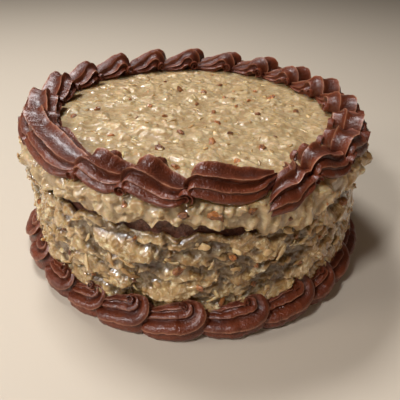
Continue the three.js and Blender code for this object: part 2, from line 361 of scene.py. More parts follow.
def quads(rows: int, columns: int, closed_rows: bool, start: int = 0) -> Array:
    """Faces of a grid whose columns close round.

    Args:
        rows: Number of rows.
        columns: Points in a row.
        closed_rows: Whether the last row joins the first.
        start: Number of the first point.

    Returns:
        Rows of four corners.
    """
    i = np.arange(rows if closed_rows else rows - 1)[:, None]
    j = np.arange(columns)[None, :]
    low, high, ahead = i * columns, ((i + 1) % rows) * columns, (j + 1) % columns
    faces = np.stack([low + j, low + ahead, high + ahead, high + j], axis=-1)
    return faces.reshape(-1, 4) + start


def tube_faces(sections: int, sides: int) -> list[tuple]:
    """Returns the faces of a closed tube, its two ends among them."""
    last = (sections - 1) * sides
    ends = [tuple(range(sides - 1, -1, -1)), tuple(last + k for k in range(sides))]
    return [tuple(f) for f in quads(sections, sides, False)] + ends


def fans(start: int, rows: int, columns: int, first: int, last: int) -> list[tuple[int, int, int]]:
    """Triangles that close both ends of a grid whose columns close round.

    Args:
        start: Number of the grid's first point.
        rows: Its rows.
        columns: Points in a row.
        first: Number of the point in the middle of the first end.
        last: The same for the last end.

    Returns:
        The triangles.
    """
    far = start + (rows - 1) * columns
    faces = []
    for j in range(columns):
        ahead = (j + 1) % columns
        faces.append((first, start + ahead, start + j))
        faces.append((last, far + j, far + ahead))
    return faces


def bridge(inner: int, inner_count: int, outer: int, outer_count: int) -> list[tuple[int, int, int]]:
    """Triangles between two rings with different numbers of points, seen from above.

    Args:
        inner: Number of the inner ring's first point.
        inner_count: Its points.
        outer: Number of the outer ring's first point.
        outer_count: Its points.

    Returns:
        The triangles.
    """
    faces = []
    i = j = 0
    while i < inner_count or j < outer_count:
        a, b = inner + i % inner_count, outer + j % outer_count
        if j < outer_count and (i >= inner_count or (j + 0.5) / outer_count <= (i + 0.5) / inner_count):
            j += 1
            faces.append((a, b, outer + j % outer_count))
        else:
            i += 1
            faces.append((a, b, inner + i % inner_count))
    return faces


@dataclass(frozen=True)
class Flakes:
    """One layer of ragged flakes that is pressed on a sheet.

    Args:
        count: How many.
        seed: Start of the random numbers.
        length: Least and most length, in mm.
        breadth: Least and most breadth.
        thick: Least and most thickness.
        spread: Largest turn away from level, in radians.
        cling: How much of the height below it each flake takes on, from 0 to 1.
        lean: How much higher each stands at its lower edge than at its upper one.
        softened: How often the sheet's steps are rounded afterwards.
    """

    count: int
    seed: int
    length: tuple
    breadth: tuple
    thick: tuple
    spread: float
    cling: float
    lean: float = 0.0
    softened: int = 0


@dataclass
class ReliefMap:
    """Heights on a flat sheet, built up by pressing flakes on to it.

    Args:
        width: Size along u, in mm.
        height: Size along v.
        cell: Size of a cell.
        wraps: Whether u closes round.
        flakes: The layers of flakes, in the order that they are pressed on.
        bend: Most that a flake bends, as a share of its length.
        tilt: Most that it tips along its length.
        margin: How far, as a share of its length, a flake's cells are looked for past its breadth.
        notches: Number and depth of the notches round its edge.
        fullness: How quickly it rises from its edge.
        ground: The tint where no flake lies.
    """

    width: float
    height: float
    cell: float
    wraps: bool
    flakes: Sequence[Flakes]
    bend: float = 0.12
    tilt: float = 0.5
    margin: float = 0.6
    notches: tuple = ((3, 0.16), (5, 0.11))
    fullness: float = 2.2
    ground: float = 0.4

    def __post_init__(self) -> None:
        """Presses all layers on a level sheet and moves the heights so that their mean is 0."""
        self.columns = round(self.width / self.cell)
        self.rows = round(self.height / self.cell) + 1
        self.grid = np.zeros((self.rows, self.columns))
        self.tint = np.full((self.rows, self.columns), self.ground)
        for layer in self.flakes:
            self.strew(layer)
            self.soften(layer.softened)
        self.grid -= self.grid.mean()

    def strew(self, layer: Flakes) -> None:
        """Presses one layer of flakes on the sheet."""
        random = SeededRandom(layer.seed)
        for _ in range(layer.count):
            u, v = random.within(0, self.width), random.within(0, self.height)
            size = [random.within(*span) for span in (layer.length, layer.breadth, layer.thick)]
            self.press(u, v, size, random.within(-layer.spread, layer.spread), layer, random)

    def press(self, u: float, v: float, size: Sequence[float], turn: float, layer: Flakes,
              random: SeededRandom) -> None:
        """Lays one ragged flake on what is there.

        Args:
            u: Its middle along the sheet.
            v: Its middle across.
            size: Length, breadth and thickness.
            turn: Its direction, in radians.
            layer: The layer that it belongs to.
            random: Its random numbers.
        """
        length, breadth, thick = size
        bend = random.within(-self.bend, self.bend) * length
        phases = [random.within(0, TAU) for _ in self.notches]
        tilt, tone = random.within(-self.tilt, self.tilt), random()
        reach = self.margin * length + abs(bend) + breadth
        c0 = int((u - reach) / self.cell)
        c1 = int((u + reach) / self.cell) + 1
        r0 = max(0, int((v - reach) / self.cell))
        r1 = min(self.rows, int((v + reach) / self.cell) + 1)
        if not self.wraps:
            c0, c1 = max(0, c0), min(self.columns, c1)
        if r1 <= r0 or c1 <= c0:
            return
        columns = np.arange(c0, c1)
        x = columns[None, :] * self.cell - u
        y = np.arange(r0, r1)[:, None] * self.cell - v
        along = (x * math.cos(turn) + y * math.sin(turn)) / (0.5 * length)
        across = (y * math.cos(turn) - x * math.sin(turn) - bend * (1 - along**2)) / (0.5 * breadth)
        bearing = np.arctan2(across, along)
        ragged = 1.0
        for (count, depth), phase in zip(self.notches, phases):
            ragged = ragged + depth * np.cos(count * bearing + phase)
        form = 1 - (along**2 + across**2) / ragged**2
        area = np.ix_(np.arange(r0, r1), columns % self.columns)
        there = self.grid[area]
        inside = form > 0
        if not inside.any():
            return
        under = layer.cling * there + (1 - layer.cling) * there[inside].mean()
        rise = np.sqrt(np.clip(self.fullness * form, 0, 1)) * (1 + tilt * along - layer.lean * across)
        laid = under + thick * rise
        over = inside & (laid > there)
        self.grid[area] = np.where(over, laid, there)
        self.tint[area] = np.where(over, tone, self.tint[area])

    def soften(self, passes: int) -> None:
        """Rounds sharp steps: a cell keeps half of its height and takes an eighth of each neighbour's."""
        for _ in range(passes):
            grid = self.grid
            sides = np.roll(grid, 1, 1) + np.roll(grid, -1, 1)
            ends = np.vstack([grid[:1], grid[:-1]]) + np.vstack([grid[1:], grid[-1:]])
            self.grid = 0.5 * grid + 0.125 * (sides + ends)

    def read(self, u: Array, v: Array | float) -> tuple[Array, Array]:
        """Returns the height at each place, in mm, and the tint there."""
        x = np.asarray(u, float) / self.cell
        y = np.clip(np.asarray(v, float) / self.cell, 0, self.rows - OVER_ONE)
        if not self.wraps:
            x = np.clip(x, 0, self.columns - OVER_ONE)
        i = np.floor(x).astype(int)
        j = np.floor(y).astype(int)
        fx, fy = x - i, y - j
        i0, i1 = i % self.columns, (i + 1) % self.columns

        def blend(grid: Array) -> Array:
            """Returns one grid's values there."""
            low = grid[j, i0] * (1 - fx) + grid[j, i1] * fx
            high = grid[j + 1, i0] * (1 - fx) + grid[j + 1, i1] * fx
            return low * (1 - fy) + high * fy

        return blend(self.grid), blend(self.tint)


# ---- Node trees --------------------------------------------------------------------------------------


class Bench:
    """Adds and joins nodes in one tree."""

    def __init__(self, tree: Tree) -> None:
        """Keeps the tree."""
        self.tree = tree

    def add(self, kind: str, **settings: object) -> TreeNode:
        """Adds a node and sets its properties."""
        node = self.tree.nodes.new(kind)
        for name, value in settings.items():
            setattr(node, name, value)
        return node

    def put(self, node: TreeNode, **values: object) -> TreeNode:
        """Sets or joins inputs by name, with _ for a space.

        Args:
            node: The node.
            **values: A value, or an output socket to join.

        Returns:
            The same node.
        """
        for name, value in values.items():
            self.feed(node.inputs[name.replace("_", " ")], value)
        return node

    def feed(self, socket: Socket, value: object) -> None:
        """Joins an output to a socket, or sets the socket's own value."""
        if isinstance(value, Socket):
            self.tree.links.new(value, socket)
        else:
            socket.default_value = value

    def math(self, operation: str, first: object, second: object = 0.0) -> Socket:
        """Returns the result of a math node."""
        node = self.add("ShaderNodeMath", operation=operation)
        self.feed(node.inputs[0], first)
        self.feed(node.inputs[1], second)
        return node.outputs[0]

    def cross(self, first: object, second: object) -> Socket:
        """Returns the cross product of two vectors."""
        node = self.add("ShaderNodeVectorMath", operation="CROSS_PRODUCT")
        self.feed(node.inputs[0], first)
        self.feed(node.inputs[1], second)
        return node.outputs[0]

    def scaled(self, vector: Socket, by: Socket) -> Socket:
        """Returns a vector times a number."""
        node = self.add("ShaderNodeVectorMath", operation="SCALE")
        self.feed(node.inputs[0], vector)
        self.put(node, Scale=by)
        return node.outputs[0]

    def random(self, low: object, high: object, seed: int) -> Socket:
        """Returns a random number for each point."""
        node = self.add("FunctionNodeRandomValue", data_type="FLOAT")
        self.feed(node.inputs[2], low)
        self.feed(node.inputs[3], high)
        self.put(node, Seed=seed)
        return node.outputs[1]

    def moved(self, geometry: Socket, offset: Socket) -> Socket:
        """Returns a geometry whose points are moved."""
        node = self.add("GeometryNodeSetPosition")
        return self.put(node, Geometry=geometry, Offset=offset).outputs[0]


class GeometryTool:
    """A Geometry Nodes tree with named inputs, run once on a mesh to make a plain one."""

    def __init__(self, name: str, inputs: dict[str, tuple[str, object]]) -> None:
        """Makes the tree with its inputs.

        Args:
            name: Its name.
            inputs: Each input's name, with its socket type and value.
        """
        self.tree = bpy.data.node_groups.new(name, "GeometryNodeTree")
        self.bench = Bench(self.tree)
        face = self.tree.interface
        face.new_socket(name="Geometry", in_out="INPUT", socket_type="NodeSocketGeometry")
        face.new_socket(name="Geometry", in_out="OUTPUT", socket_type="NodeSocketGeometry")
        self.sockets = {}
        self.values = {}
        for label, (kind, value) in inputs.items():
            item = face.new_socket(name=label, in_out="INPUT", socket_type=kind)
            self.sockets[label] = item.identifier
            self.values[label] = value
        self.entry = self.bench.add("NodeGroupInput")
        self.exit = self.bench.add("NodeGroupOutput")

    def given(self, label: str) -> Socket:
        """Returns a named input's socket inside the tree."""
        return self.entry.outputs[label]

    def end(self, geometry: Socket, material: Material) -> None:
        """Ends the tree in Realize Instances and Set Material."""
        bench = self.bench
        real = bench.put(bench.add("GeometryNodeRealizeInstances"), Geometry=geometry)
        done = bench.put(bench.add("GeometryNodeSetMaterial"), Geometry=real.outputs[0], Material=material)
        bench.put(self.exit, Geometry=done.outputs[0])

    def run(self, name: str, mesh: Mesh, **changes: object) -> Piece:
        """Runs the tree on a mesh.

        Args:
            name: Name of the new piece.
            mesh: What goes in.
            **changes: Input values other than the usual ones, with _ for a space.

        Returns:
            A plain mesh object at the origin.
        """
        worker = bpy.data.objects.new(name + "_work", mesh)
        bpy.context.scene.collection.objects.link(worker)
        modifier = worker.modifiers.new("tool", "NODES")
        modifier.node_group = self.tree
        values = self.values | {k.replace("_", " "): v for k, v in changes.items()}
        for label, value in values.items():
            modifier[self.sockets[label]] = value
        worker.update_tag()
        graph = bpy.context.evaluated_depsgraph_get()
        made = bpy.data.meshes.new_from_object(worker.evaluated_get(graph))
        worker.modifiers.remove(modifier)
        bpy.data.objects.remove(worker)
        made.name = name
        return place(name, made)


# ---- Finishes ----------------------------------------------------------------------------------------


def srgb(red: float, green: float, blue: float) -> tuple[float, float, float, float]:
    """Returns a linear colour from 0 to 255 screen values."""

    def linear(value: float) -> float:
        """Returns one channel as linear light."""
        share = value / 255
        if share <= SCREEN_TOE:
            return share / SCREEN_SLOPE
        return ((share + SCREEN_OFFSET) / (1 + SCREEN_OFFSET)) ** SCREEN_POWER

    return (linear(red), linear(green), linear(blue), 1.0)


class Effects:
    """Shader node groups that several finishes use, each built once."""

    GRIT_FINER = 1.7

    def __init__(self) -> None:
        """Builds the groups."""
        self.mottle = self._mottle()
        self.wetness = self._wetness()

    @staticmethod
    def _group(name: str, output: str, **inputs: float) -> tuple[Bench, dict, TreeNode, dict]:
        """Makes a group whose pattern has a size.

        Args:
            name: Its name.
            output: Name of what it puts out.
            **inputs: Its numbers, among them Size in mm.

        Returns:
            Its bench, its inputs, its exit, and where a texture in it lies and how large it is.
        """
        tree = bpy.data.node_groups.new(name, "ShaderNodeTree")
        for label, value in inputs.items():
            item = tree.interface.new_socket(name=label, in_out="INPUT", socket_type="NodeSocketFloat")
            item.default_value = value
        tree.interface.new_socket(name=output, in_out="OUTPUT", socket_type="NodeSocketFloat")
        bench = Bench(tree)
        given = bench.add("NodeGroupInput").outputs
        spot = bench.add("ShaderNodeTexCoord").outputs["Object"]
        pattern = {"Vector": spot, "Scale": bench.math("DIVIDE", PER_METRE, given["Size"])}
        return bench, {label: given[label] for label in inputs}, bench.add("NodeGroupOutput"), pattern

    def _mottle(self) -> Tree:
        """Returns soft uneven patches: a mask from 0 to 1."""
        bench, given, exit_node, pattern = self._group("Mottle", "Mask", Size=8.0, Low=0.4, High=0.6)
        noise = bench.add("ShaderNodeTexNoise", noise_dimensions="3D")
        bench.put(noise, **pattern, Detail=4.0, Roughness=0.6, Distortion=0.4)
        span = bench.add("ShaderNodeMapRange", interpolation_type="SMOOTHSTEP")
        bench.put(span, Value=noise.outputs[0], From_Min=given["Low"], From_Max=given["High"])
        bench.put(exit_node, Mask=span.outputs[0])
        return bench.tree

    def _wetness(self) -> Tree:
        """Returns the fine uneven skin of a wet or creamy surface: a height."""
        bench, given, exit_node, pattern = self._group("Wet skin", "Height", Size=2.0, Grit=0.4)
        soft = bench.add("ShaderNodeTexNoise", noise_dimensions="3D")
        bench.put(soft, **pattern, Detail=3.0, Roughness=0.55)
        fine = bench.add("ShaderNodeTexVoronoi", feature="SMOOTH_F1")
        finer = bench.math("MULTIPLY", pattern["Scale"], self.GRIT_FINER)
        bench.put(fine, Vector=pattern["Vector"], Scale=finer)
        grit = bench.math("MULTIPLY", fine.outputs["Distance"], given["Grit"])
        bench.put(exit_node, Height=bench.math("SUBTRACT", soft.outputs[0], grit))
        return bench.tree


@dataclass(frozen=True)
class Shift:
    """How a point value shifts a finish's colour.

    Args:
        mark: Name of the value.
        low: What the colour is multiplied by where the value is low.
        high: The same where it is high.
        span: The low and the high value.
    """

    mark: str
    low: tuple
    high: tuple
    span: tuple = (0.0, 1.0)


@dataclass(frozen=True)
class Finish:
    """A glossy or matt food surface: patchy colour, a mark that shifts it, and an uneven skin.

    Args:
        name: Its name.
        base: Main colour.
        patch: Colour of the soft patches.
        patch_size: Their size in mm.
        patch_span: Noise levels where the patches start and are full.
        fleck: Colour of the small flecks.
        fleck_size: Their size in mm.
        fleck_span: Noise levels where the flecks start and are full.
        shifts: Marks that shift the colour, among them painted shade and painted highlight.
        roughness: Least and most roughness.
        skin: Size of the uneven skin in mm, its grit, and its height in mm.
        coat: Weight of the wet film.
        wet_mark: Name of a point value that thickens the film to full weight, if any.
        coat_roughness: Roughness of the film.
        shine: Strength of the surface's own gloss.
        depth: Weight of light passing through.
        depth_reach: How far light goes, in mm, for red, green and blue.
    """

    name: str
    base: tuple
    patch: tuple
    fleck: tuple
    patch_size: float = 9.0
    patch_span: tuple = (0.45, 0.62)
    fleck_size: float = 2.5
    fleck_span: tuple = (0.6, 0.68)
    shifts: tuple = ()
    roughness: tuple = (0.35, 0.5)
    skin: tuple = (1.4, 0.4, 0.25)
    coat: float = 0.0
    wet_mark: str = ""
    coat_roughness: float = 0.1
    shine: float = 0.5
    depth: float = 0.0
    depth_reach: tuple = (2.0, 1.2, 0.6)

    def build(self, effects: Effects) -> Material:
        """Makes the material.

        Args:
            effects: The shared node groups.

        Returns:
            The material.
        """
        material = bpy.data.materials.new(self.name)
        material.use_nodes = True
        material.node_tree.nodes.clear()
        bench = Bench(material.node_tree)
        exit_node = bench.add("ShaderNodeOutputMaterial")
        surface = bench.add("ShaderNodeBsdfPrincipled")
        patches = self._mask(bench, effects, self.patch_size, self.patch_span)
        flecks = self._mask(bench, effects, self.fleck_size, self.fleck_span)
        colour = self._mix(bench, patches, self.base, self.patch)
        colour = self._mix(bench, flecks, colour, self.fleck)
        for shift in self.shifts:
            mark = bench.add("ShaderNodeAttribute", attribute_name=shift.mark).outputs["Fac"]
            span = bench.add("ShaderNodeMapRange", interpolation_type="SMOOTHSTEP")
            bench.put(span, Value=mark, From_Min=shift.span[0], From_Max=shift.span[1])
            factor = self._mix(bench, span.outputs[0], shift.low, shift.high)
            colour = self._mix(bench, 1.0, colour, factor, "MULTIPLY")
        rough = bench.add("ShaderNodeMapRange")
        bench.put(rough, Value=patches, To_Min=self.roughness[0], To_Max=self.roughness[1])
        skin = bench.add("ShaderNodeGroup", node_tree=effects.wetness)
        bench.put(skin, Size=self.skin[0], Grit=self.skin[1])
        bump = bench.add("ShaderNodeBump")
        bench.put(bump, Strength=1.0, Distance=self.skin[2] * MM, Height=skin.outputs["Height"])
        bench.put(surface, Base_Color=colour, Roughness=rough.outputs[0], Normal=bump.outputs[0])
        bench.put(surface, Coat_Weight=self.coat, Coat_Roughness=self.coat_roughness)
        if self.wet_mark:
            wet = bench.add("ShaderNodeAttribute", attribute_name=self.wet_mark).outputs["Fac"]
            film = bench.put(bench.add("ShaderNodeMapRange"), Value=wet, To_Min=self.coat, To_Max=1.0)
            bench.put(surface, Coat_Weight=film.outputs[0])
        bench.put(surface, Specular_IOR_Level=self.shine)
        bench.put(surface, Subsurface_Weight=self.depth, Subsurface_Scale=MM)
        bench.put(surface, Subsurface_Radius=self.depth_reach)
        bench.put(exit_node, Surface=surface.outputs[0])
        return material

    @staticmethod
    def _mask(bench: Bench, effects: Effects, size: float, span: tuple) -> Socket:
        """Returns a mask of soft patches."""
        node = bench.add("ShaderNodeGroup", node_tree=effects.mottle)
        bench.put(node, Size=size, Low=span[0], High=span[1])
        return node.outputs["Mask"]

    @staticmethod
    def _mix(bench: Bench, share: object, first: object, second: object, how: str = "MIX") -> Socket:
        """Returns a blend of two colours."""
        node = bench.add("ShaderNodeMix", data_type="RGBA", blend_type=how)
        for socket, value in zip(MIX_INPUTS, (share, first, second)):
            bench.feed(node.inputs[socket], value)
        return node.outputs[MIX_RESULT]


BUTTERCREAM = Finish(
    name="chocolate buttercream",
    base=srgb(106, 50, 28),
    patch=srgb(90, 40, 22),
    fleck=srgb(118, 60, 38),
    patch_size=11,
    fleck_size=1.6,
    shifts=(
        # Painted shade darkens the grooves and a pale painted highlight runs along the ridges, both read
        # from the crest mark.
        Shift("crest", (0.56, 0.5, 0.44, 1), (1.06, 1.0, 0.96, 1), (0.0, CALM)),
        Shift("crest", (1.0, 1.0, 1.0, 1), (2.6, 5.4, 8.6, 1), (CALM, 1.0)),
    ),
    roughness=(0.33, 0.41),
    skin=(1.5, 0.6, 0.5),
    coat=0.22,
    coat_roughness=0.25,
)
CUSTARD = Finish(
    name="coconut custard",
    base=srgb(182, 151, 103),
    patch=srgb(158, 125, 78),
    fleck=srgb(220, 202, 162),
    shifts=(
        # Painted shade darkens the hollows and painted light brightens the lumps, read from the relief mark.
        Shift("relief", (0.34, 0.3, 0.25, 1), (1.1, 1.1, 1.1, 1), (0.1, 0.75)),
        Shift("tint", (0.72, 0.64, 0.48, 1), (1.14, 1.2, 1.36, 1)),
    ),
    fleck_size=3.2,
    fleck_span=(0.5, 0.66),
    roughness=(0.16, 0.28),
    skin=(2.3, 0.4, 0.8),
    coat=1.0,
    coat_roughness=0.05,
    depth=0.7,
    depth_reach=(3.0, 2.0, 1.1),
)
TOP_CUSTARD = replace(
    CUSTARD,
    name="level coconut custard",
    base=srgb(189, 163, 122),
    patch=srgb(175, 146, 104),
    shifts=(
        # Painted shade darkens the hollows and painted light brightens the humps, read from the relief mark.
        Shift("relief", (0.45, 0.38, 0.29, 1), (1.08, 1.09, 1.12, 1)),
        Shift("tint", (0.93, 0.9, 0.84, 1), (1.03, 1.05, 1.1, 1)),
    ),
    fleck=srgb(208, 188, 148),
    roughness=(0.3, 0.42),
    skin=(2.2, 0.4, 0.3),
    coat=0.25,
    wet_mark="wet",
    coat_roughness=0.08,
    shine=0.4,
)
COCONUT = Finish(
    name="coconut shreds",
    base=srgb(212, 182, 134),
    patch=srgb(196, 160, 110),
    fleck=srgb(232, 212, 178),
    patch_size=6,
    shifts=(Shift("tone", (0.66, 0.56, 0.44, 1), (1.12, 1.12, 1.14, 1)),),
    roughness=(0.2, 0.34),
    skin=(0.9, 0.6, 0.3),
    coat=0.7,
    coat_roughness=0.07,
    depth=0.7,
    depth_reach=(2.8, 2.2, 1.5),
)
PECAN = Finish(
    name="chopped pecans",
    base=srgb(166, 108, 60),
    patch=srgb(108, 66, 40),
    fleck=srgb(206, 160, 104),
    patch_size=3,
    fleck_size=1.3,
    shifts=(Shift("tone", (0.6, 0.52, 0.46, 1), (1.35, 1.28, 1.1, 1)),),
    roughness=(0.3, 0.45),
    skin=(0.8, 0.7, 0.35),
    coat=0.4,
    coat_roughness=0.12,
    depth=0.1,
)
SPONGE = Finish(
    name="chocolate sponge",
    base=srgb(116, 72, 56),
    patch=srgb(84, 50, 40),
    fleck=srgb(158, 112, 86),
    patch_size=4,
    fleck_size=1.2,
    roughness=(0.35, 0.6),
    skin=(1.1, 0.8, 0.7),
    coat=0.3,
)


# ---- Pieces ------------------------------------------------------------------------------------------


def hand_over(piece: Piece, node: Node, slot: Slot) -> None:
    """Hangs a finished piece on the root body, hides the solid that it stands for, and reports it."""
    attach(piece, "root")
    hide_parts(node.value)
    LOG.info("%s: %d faces for %s", piece.name, len(piece.data.polygons), node.value)


@dataclass
class Relief:
    """The low forms that the frosting solids have, from the same seeds.

    Args:
        drips: Azimuth, width and drop of the lip's two drips, in degrees and mm.
        bare: Where the strip of sponge is bare: its azimuth, reach and fade in degrees.
        low_lip: How much lower the lip hangs everywhere else.
        lumps: Share of the wall's coarse and fine lumps.
        waves: Depth of the coarse and fine waves of the lip's lower edge.
        bulge: How far the coarse waves make the lip stand out.
        start: Height above the foot rope by which the wall's lumps are full.
        end: Distance before the top rope where the top's low forms start to fade.
    """

    drips: tuple = ((-69.0, 4.5, 8.0), (-59.0, 5.0, 7.0))
    bare: tuple = (-97.0, 30.0, 14.0)
    low_lip: float = 4.4
    lumps: tuple = (0.6, 0.55)
    waves: tuple = (1.3, 0.8)
    bulge: float = 0.8
    start: float = 7.0
    end: float = 9.0

    def __post_init__(self) -> None:
        """Fills the lattices."""
        self.wall_coarse = RingNoise(seed=11, around=34, across=6)
        self.wall_fine = RingNoise(seed=12, around=70, across=13)
        self.top_coarse = RingNoise(seed=21, around=18, across=6)
        self.lip_edge = RingNoise(seed=31, around=26, across=1)
        self.lip_fine = RingNoise(seed=32, around=60, across=1)

    def wall(self, turn: Array, z: float) -> Array:
        """Returns how far the solid's wall stands out from the mean, in mm."""
        height = z / STRIP_BOTTOM
        coarse, fine = self.lumps
        lumps = coarse * self.wall_coarse.at(turn, height) + fine * self.wall_fine.at(turn, height)
        return smoothstep(z, ROPE_FOOT, ROPE_FOOT + self.start) * WALL_RELIEF * lumps

    def top(self, turn: Array, radius: float) -> Array:
        """Returns how far the solid's top stands up from the mean, in mm."""
        shown = 1 - smoothstep(radius, ROPE_INNER - self.end, ROPE_INNER)
        return shown * TOP_RELIEF * self.top_coarse.at(turn, radius / ROPE_INNER)

    def lip_drop(self, turn: Array) -> Array:
        """Returns how far the lip's lower edge hangs down, in mm."""
        coarse, fine = self.waves
        total = coarse * self.lip_edge.at(turn, 0) + fine * self.lip_fine.at(turn, 0)
        total = total + self.low_lip * self.covered(turn)
        for azimuth, width, drop in self.drips:
            total = total + drop * nearness(360 * turn, azimuth, width)
        return total

    def covered(self, turn: Array) -> Array:
        """Returns 0 where the strip of sponge is bare and 1 where the lip covers it."""
        middle, reach, fade = self.bare
        return smoothstep(np.abs(apart(360 * turn, middle)), reach, reach + fade)

    def lip_bulge(self, turn: Array) -> Array:
        """Returns how far the lip stands out, in mm."""
        return self.bulge * self.lip_edge.at(turn, 0)


@dataclass
class SpongeCake:
    """The dark sponge, with open crumb where its strip shows.

    Args:
        columns: Points round it.
        levels: Heights of its rows below and above the crumb.
        crumb_rows: Lowest and highest row of the crumb, and the distance between two.
        crumb: Depth of the crumb in mm.
        grain: Size of its holes.
        seed: Picks their pattern.
        shown: Heights where the crumb starts, is full, starts to fade and ends.
        chamfer: How far the top edge is cut back.
    """

    columns: int = 640
    levels: tuple = ((0.0, 30.0, 60.0), (80.6, SPONGE_HEIGHT))
    crumb_rows: tuple = (66.0, 79.1, 0.9)
    crumb: float = 0.8
    grain: float = 2.6
    seed: int = 7
    shown: tuple = (64, 68, 77, 80)
    chamfer: float = 1.4

    def make(self, material: Material) -> Piece:
        """Makes the sponge.

        Args:
            material: Its finish.

        Returns:
            The piece.
        """
        low, high = self.levels
        levels = [*low, *np.arange(*self.crumb_rows), *high]
        radii = [SPONGE_RADIUS] * (len(levels) - 1) + [SPONGE_RADIUS - self.chamfer]
        azimuth = np.arange(self.columns) * TAU / self.columns
        points = np.concatenate([polar(r, azimuth, z) for r, z in zip(radii, levels)])
        start, full, fade, end = self.shown
        shown = smoothstep(points[:, 2], start, full) * (1 - smoothstep(points[:, 2], fade, end))
        dent = self.crumb * shown * (0.5 + 0.5 * layered_noise(points, self.grain, self.seed))
        points[:, :2] *= (1 - np.clip(dent, 0, 2) / SPONGE_RADIUS)[:, None]
        count = len(points)
        points = np.vstack([points, [[0, 0, 0], [0, 0, SPONGE_HEIGHT]]])
        faces = [tuple(f) for f in quads(len(levels), self.columns, False)]
        faces += fans(0, len(levels), self.columns, count, count + 1)
        return finished("sponge_cake", points, faces, material)


@dataclass
class SideCoat:
    """The lumpy coat on the side: ragged ledges of coconut and nuts in custard.

    Args:
        relief: The solids' low forms.
        flakes: What is pressed on the wall.
        columns: Points round it.
        cell: Size of the pressed relief's cells.
        foot: Heights of the lowest rows, behind the foot rope.
        rise: Height of the first even row above them, and the distance between two.
        relief_span: Heights over the foot rope's top where the relief starts and is full.
        proud_span: Heights over it from which the wall stands out more, and most.
        edge_reach: How far under the upper edge the wall starts to flatten, and how much flatter it gets.
        kept_clear: How far toppings stay from the foot rope's top and from the upper edge.
        pressed: Share of the pressed relief that shows.
        fine: Depth, grain, seed and layers of the fine relief.
        limits: How far the wall lies in at most, and stands out at the foot rope and above it.
        droop: How far a lump sags for each mm that it stands out.
        skirt: Depth, seed and cells of the two waves of its upper edge.
        lit: The relief mark of a level wall, its rise for each mm, and the pressed relief's part in it; the
            mark paints shade in hollows and light on lumps.
        dull: The relief mark where the wall isn't seen, low for painted shade.
        edge: How far the upper edge goes in and up, row by row.
        inner_rows: Heights of the rows of the hollow that the sponge fills.
    """

    relief: Relief
    flakes: tuple = (
        Flakes(250, 61, (14, 34), (6, 12), (1.8, 3.4), 0.3, 0.15, 0.6, softened=1),
        Flakes(900, 62, (6, 15), (2.8, 6.5), (0.7, 1.7), 0.7, 0.5, 0.45),
        Flakes(2100, 63, (3, 9), (1.8, 4.4), (0.4, 1.2), 1.3, 0.75, 0.2),
        Flakes(1000, 64, (1.5, 4), (1.2, 2.4), (0.3, 0.9), 3.1, 0.9),
    )
    columns: int = 1040
    cell: float = 0.6
    foot: tuple = (0, 7, 10)
    rise: tuple = (12, 0.74)
    relief_span: tuple = (-13, -5)
    proud_span: tuple = (-7, 2)
    edge_reach: tuple = (8, 0.25)
    kept_clear: float = 3.0
    pressed: float = 0.85
    fine: tuple = (0.4, 2.6, 65, 2)
    limits: tuple = (-2.8, 1.2, 3.6)
    droop: float = 0.6
    skirt: tuple = ((2.0, 33, 70), (1.3, 34, 190))
    lit: tuple = (0.5, 0.15, 1.2)
    dull: float = 0.3
    edge: tuple = ((0.5, 0.5), (1.5, 0.9), (2.7, 1.0))
    inner_rows: tuple = (STRIP_BOTTOM - 4, 35.0, 0.0)

    def make(self, material: Material) -> Piece:
        """Makes the coat.

        Args:
            material: Its finish.

        Returns:
            The piece, with relief marks of painted shade and light, tint marks, and a spread mark where
            toppings may lie.
        """
        turn = np.arange(self.columns) / self.columns
        azimuth = turn * TAU
        skirt = ragged_edge(turn, self.skirt)
        sheet = ReliefMap(TAU * CAKE_RADIUS, STRIP_BOTTOM + 4, self.cell, True, self.flakes)
        start, step = self.rise
        levels = [*self.foot, *np.arange(start, STRIP_BOTTOM - 1, step)]
        rows = [self._wall_row(float(z), turn, sheet, skirt) for z in levels]
        last, tint = np.hypot(*rows[-1][0][:, :2].T), rows[-1][2]
        # The upper edge that turns in under the lip, and the hollow, take the dull relief mark: painted
        # shade.
        for inward, up in self.edge:
            radius = np.maximum(last - inward, SPONGE_RADIUS + 0.5)
            rows.append((polar(radius, azimuth, STRIP_BOTTOM - 1 + up + skirt), self.dull, tint, 0))
        for z in self.inner_rows:
            rows.append((polar(BORE, azimuth, z), self.dull, 0.5, 0))
        points, marks, tints, spreads = stack_rows(rows)
        faces = quads(len(rows), self.columns, True)
        return finished("side_coat", points, faces, material, relief=marks, tint=tints, spread=spreads)

    def _wall_row(self, z: float, turn: Array, sheet: ReliefMap, skirt: Array) -> tuple:
        """Makes one row of the wall.

        Args:
            z: Its height.
            turn: Share of a full turn of each column.
            sheet: The pressed relief.
            skirt: Height of the ragged upper edge.

        Returns:
            Its points and its relief, tint and spread marks.
        """
        fade, flatter = self.edge_reach
        shown = float(smoothstep(z - ROPE_FOOT, *self.relief_span))
        edge = float(smoothstep(z, STRIP_BOTTOM - fade, STRIP_BOTTOM))
        depth, grain, seed, layers = self.fine
        rough, tint = sheet.read(turn * sheet.width, z)
        rough = rough + depth * layered_noise(polar(CAKE_RADIUS, turn * TAU, z), grain, seed, layers)
        out = self.relief.wall(turn, z) + shown * self.pressed * rough
        least, low, high = self.limits
        proud = low + (high - low) * float(smoothstep(z - ROPE_FOOT, *self.proud_span))
        out = np.clip(out * (1 - flatter * edge), least, proud)
        sag = self.droop * shown * np.clip(out, 0, 4) * (1 - edge)
        # The relief mark rises where the wall stands out: painted shade in the hollows, painted light on the
        # lumps.
        level, gain, part = self.lit
        mark = np.clip(level + gain * (out + part * shown * rough), 0, 1)
        open_wall = float(ROPE_FOOT - self.kept_clear < z < STRIP_BOTTOM - self.kept_clear)
        return polar(CAKE_RADIUS + out, turn * TAU, z - sag + edge * skirt), mark, tint, open_wall


